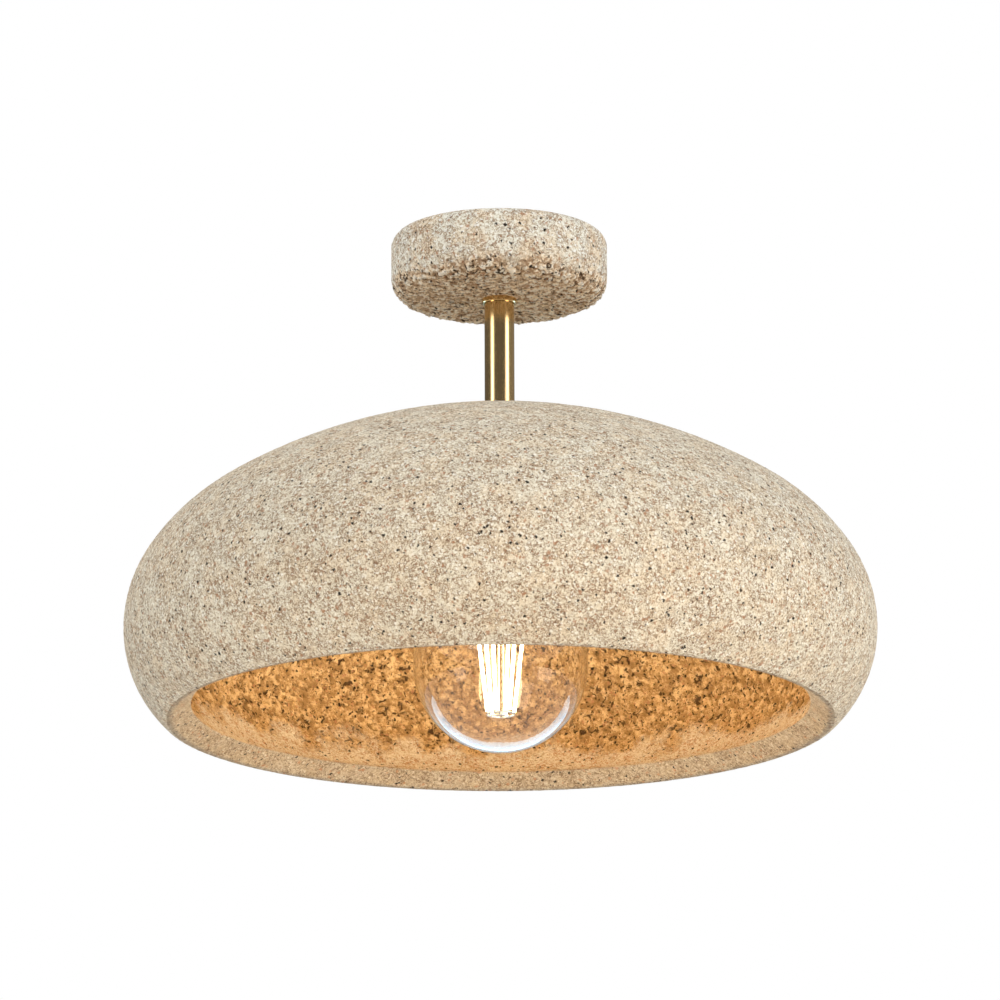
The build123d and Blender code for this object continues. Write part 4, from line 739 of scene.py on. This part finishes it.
def moulded(name, tint, dark_tint, rough, scale, bump, coat=0.0, stripes=None):
    """A moulded finish with slight mottling, and with stripes where they are given a colour."""
    finish = painted(name)
    place = finish.node("ShaderNodeTexCoord", output="Object")
    look = {"Vector": place, "Scale": scale, "Detail": 3.0}
    mottle = finish.node("ShaderNodeTexNoise", inputs=look)
    tone = finish.mix(mottle.ramp(0.35, 0.7), tint, dark_tint)
    if stripes:
        look = {"Vector": place, "Scale": 230.0}
        wave = finish.node("ShaderNodeTexWave", {"bands_direction": "X"}, look)
        tone = finish.mix(wave.ramp(0.62, 0.68), tone, stripes)
    shader = {
        "Base Color": tone,
        "Roughness": mottle.ramp(0.3, 0.7, rough * 0.85, rough * 1.15),
        "Coat Weight": coat,
        "Normal": finish.bump(bump, MOULDED_BUMP, mottle),
    }
    return cover(finish, finish.node("ShaderNodeBsdfPrincipled", inputs=shader))


tints = colour(0.03, 0.03, 0.03), colour(0.05, 0.05, 0.048)
wear(moulded("black_rubber", *tints, 0.75, 1500.0, 0.5), "crown_gasket", "clamp_gasket")
tints = colour(0.80, 0.78, 0.74), colour(0.72, 0.69, 0.63)
wear(moulded("porcelain", *tints, 0.3, 500.0, 0.1, 0.6), "holder_insert")
tints = colour(0.78, 0.75, 0.67), colour(0.70, 0.66, 0.57)
wear(moulded("block_plastic", *tints, 0.5, 900.0, 0.15), "terminal_block")
tints = colour(0.012, 0.012, 0.014), colour(0.03, 0.03, 0.035)
wear(moulded("black_glass", *tints, 0.16, 600.0, 0.1, 0.8), "bulb_insulator")
tints = colour(0.46, 0.44, 0.39), colour(0.36, 0.34, 0.30)
wear(moulded("circuit_board", *tints, 0.4, 1200.0, 0.3), "bulb_driver")
yellow = colour(0.75, 0.62, 0.05)
for wire, name, tint, dark_tint, stripes in (
    ("live_wire", "brown_sleeve", (0.13, 0.06, 0.03), (0.10, 0.045, 0.022), None),
    ("neutral_wire", "blue_sleeve", (0.03, 0.12, 0.42), (0.025, 0.09, 0.33), None),
    ("earth_wire", "green_yellow_sleeve", (0.08, 0.30, 0.05), (0.06, 0.24, 0.04), yellow),
):
    tints = colour(*tint), colour(*dark_tint)
    wear(moulded(name, *tints, 0.45, 1200.0, 0.15, 0.0, stripes), wire)


# ---- lamp -----------------------------------------------------------------------------------
# A clear blown globe on a screw cap. Six light-emitting strips hang in it between two wire
# rings; they are lit, a warm white, and a small lamp among them lights the inside of the shade.
GLASS_WAVE = 0.0004


def clear_glass(name, rough):
    """Clear glass with the faintest waviness from blowing."""
    finish = painted(name)
    place = finish.node("ShaderNodeTexCoord", output="Object")
    wave = finish.node("ShaderNodeTexNoise", inputs={"Vector": place, "Scale": 30.0, "Detail": 1.0})
    shader = {
        "Base Color": colour(1, 1, 1),
        "Roughness": rough,
        "IOR": 1.4,
        "Transmission Weight": 1.0,
        "Normal": finish.bump(0.08, GLASS_WAVE, wave),
    }
    return cover(finish, finish.node("ShaderNodeBsdfPrincipled", inputs=shader))


wear(clear_glass("globe_glass", 0.0), "bulb_globe")
wear(clear_glass("mount_glass", 0.02), "bulb_stem")
for name in ("bulb_globe", "bulb_stem", "bulb_filaments"):
    nodes[name].visible_shadow = False

strips = painted("lit_strip")
place = strips.node("ShaderNodeTexCoord", output="Object")
beads = strips.node("ShaderNodeTexNoise", inputs={"Vector": place, "Scale": 500.0, "Detail": 1.0})
beads = beads.ramp(0.3, 0.7)
shader = {
    "Base Color": colour(0.9, 0.7, 0.3),
    "Roughness": 0.6,
    "Emission Color": strips.mix(beads, colour(1.0, 0.82, 0.50), colour(1.0, 0.87, 0.58)),
    "Emission Strength": 45.0,
}
wear(cover(strips, strips.node("ShaderNodeBsdfPrincipled", inputs=shader)), "bulb_filaments")

lamp_glow = placed("lamp_glow", bpy.data.lights.new("lamp_glow", "POINT"))
lamp_glow.data.color = (1.0, 0.75, 0.46)
lamp_glow.data.energy = 0.75
lamp_glow.data.shadow_soft_size = 0.02
lamp_glow.location = (0.024, 0, -0.238)
lamp_glow.visible_camera = lamp_glow.visible_glossy = lamp_glow.visible_transmission = False
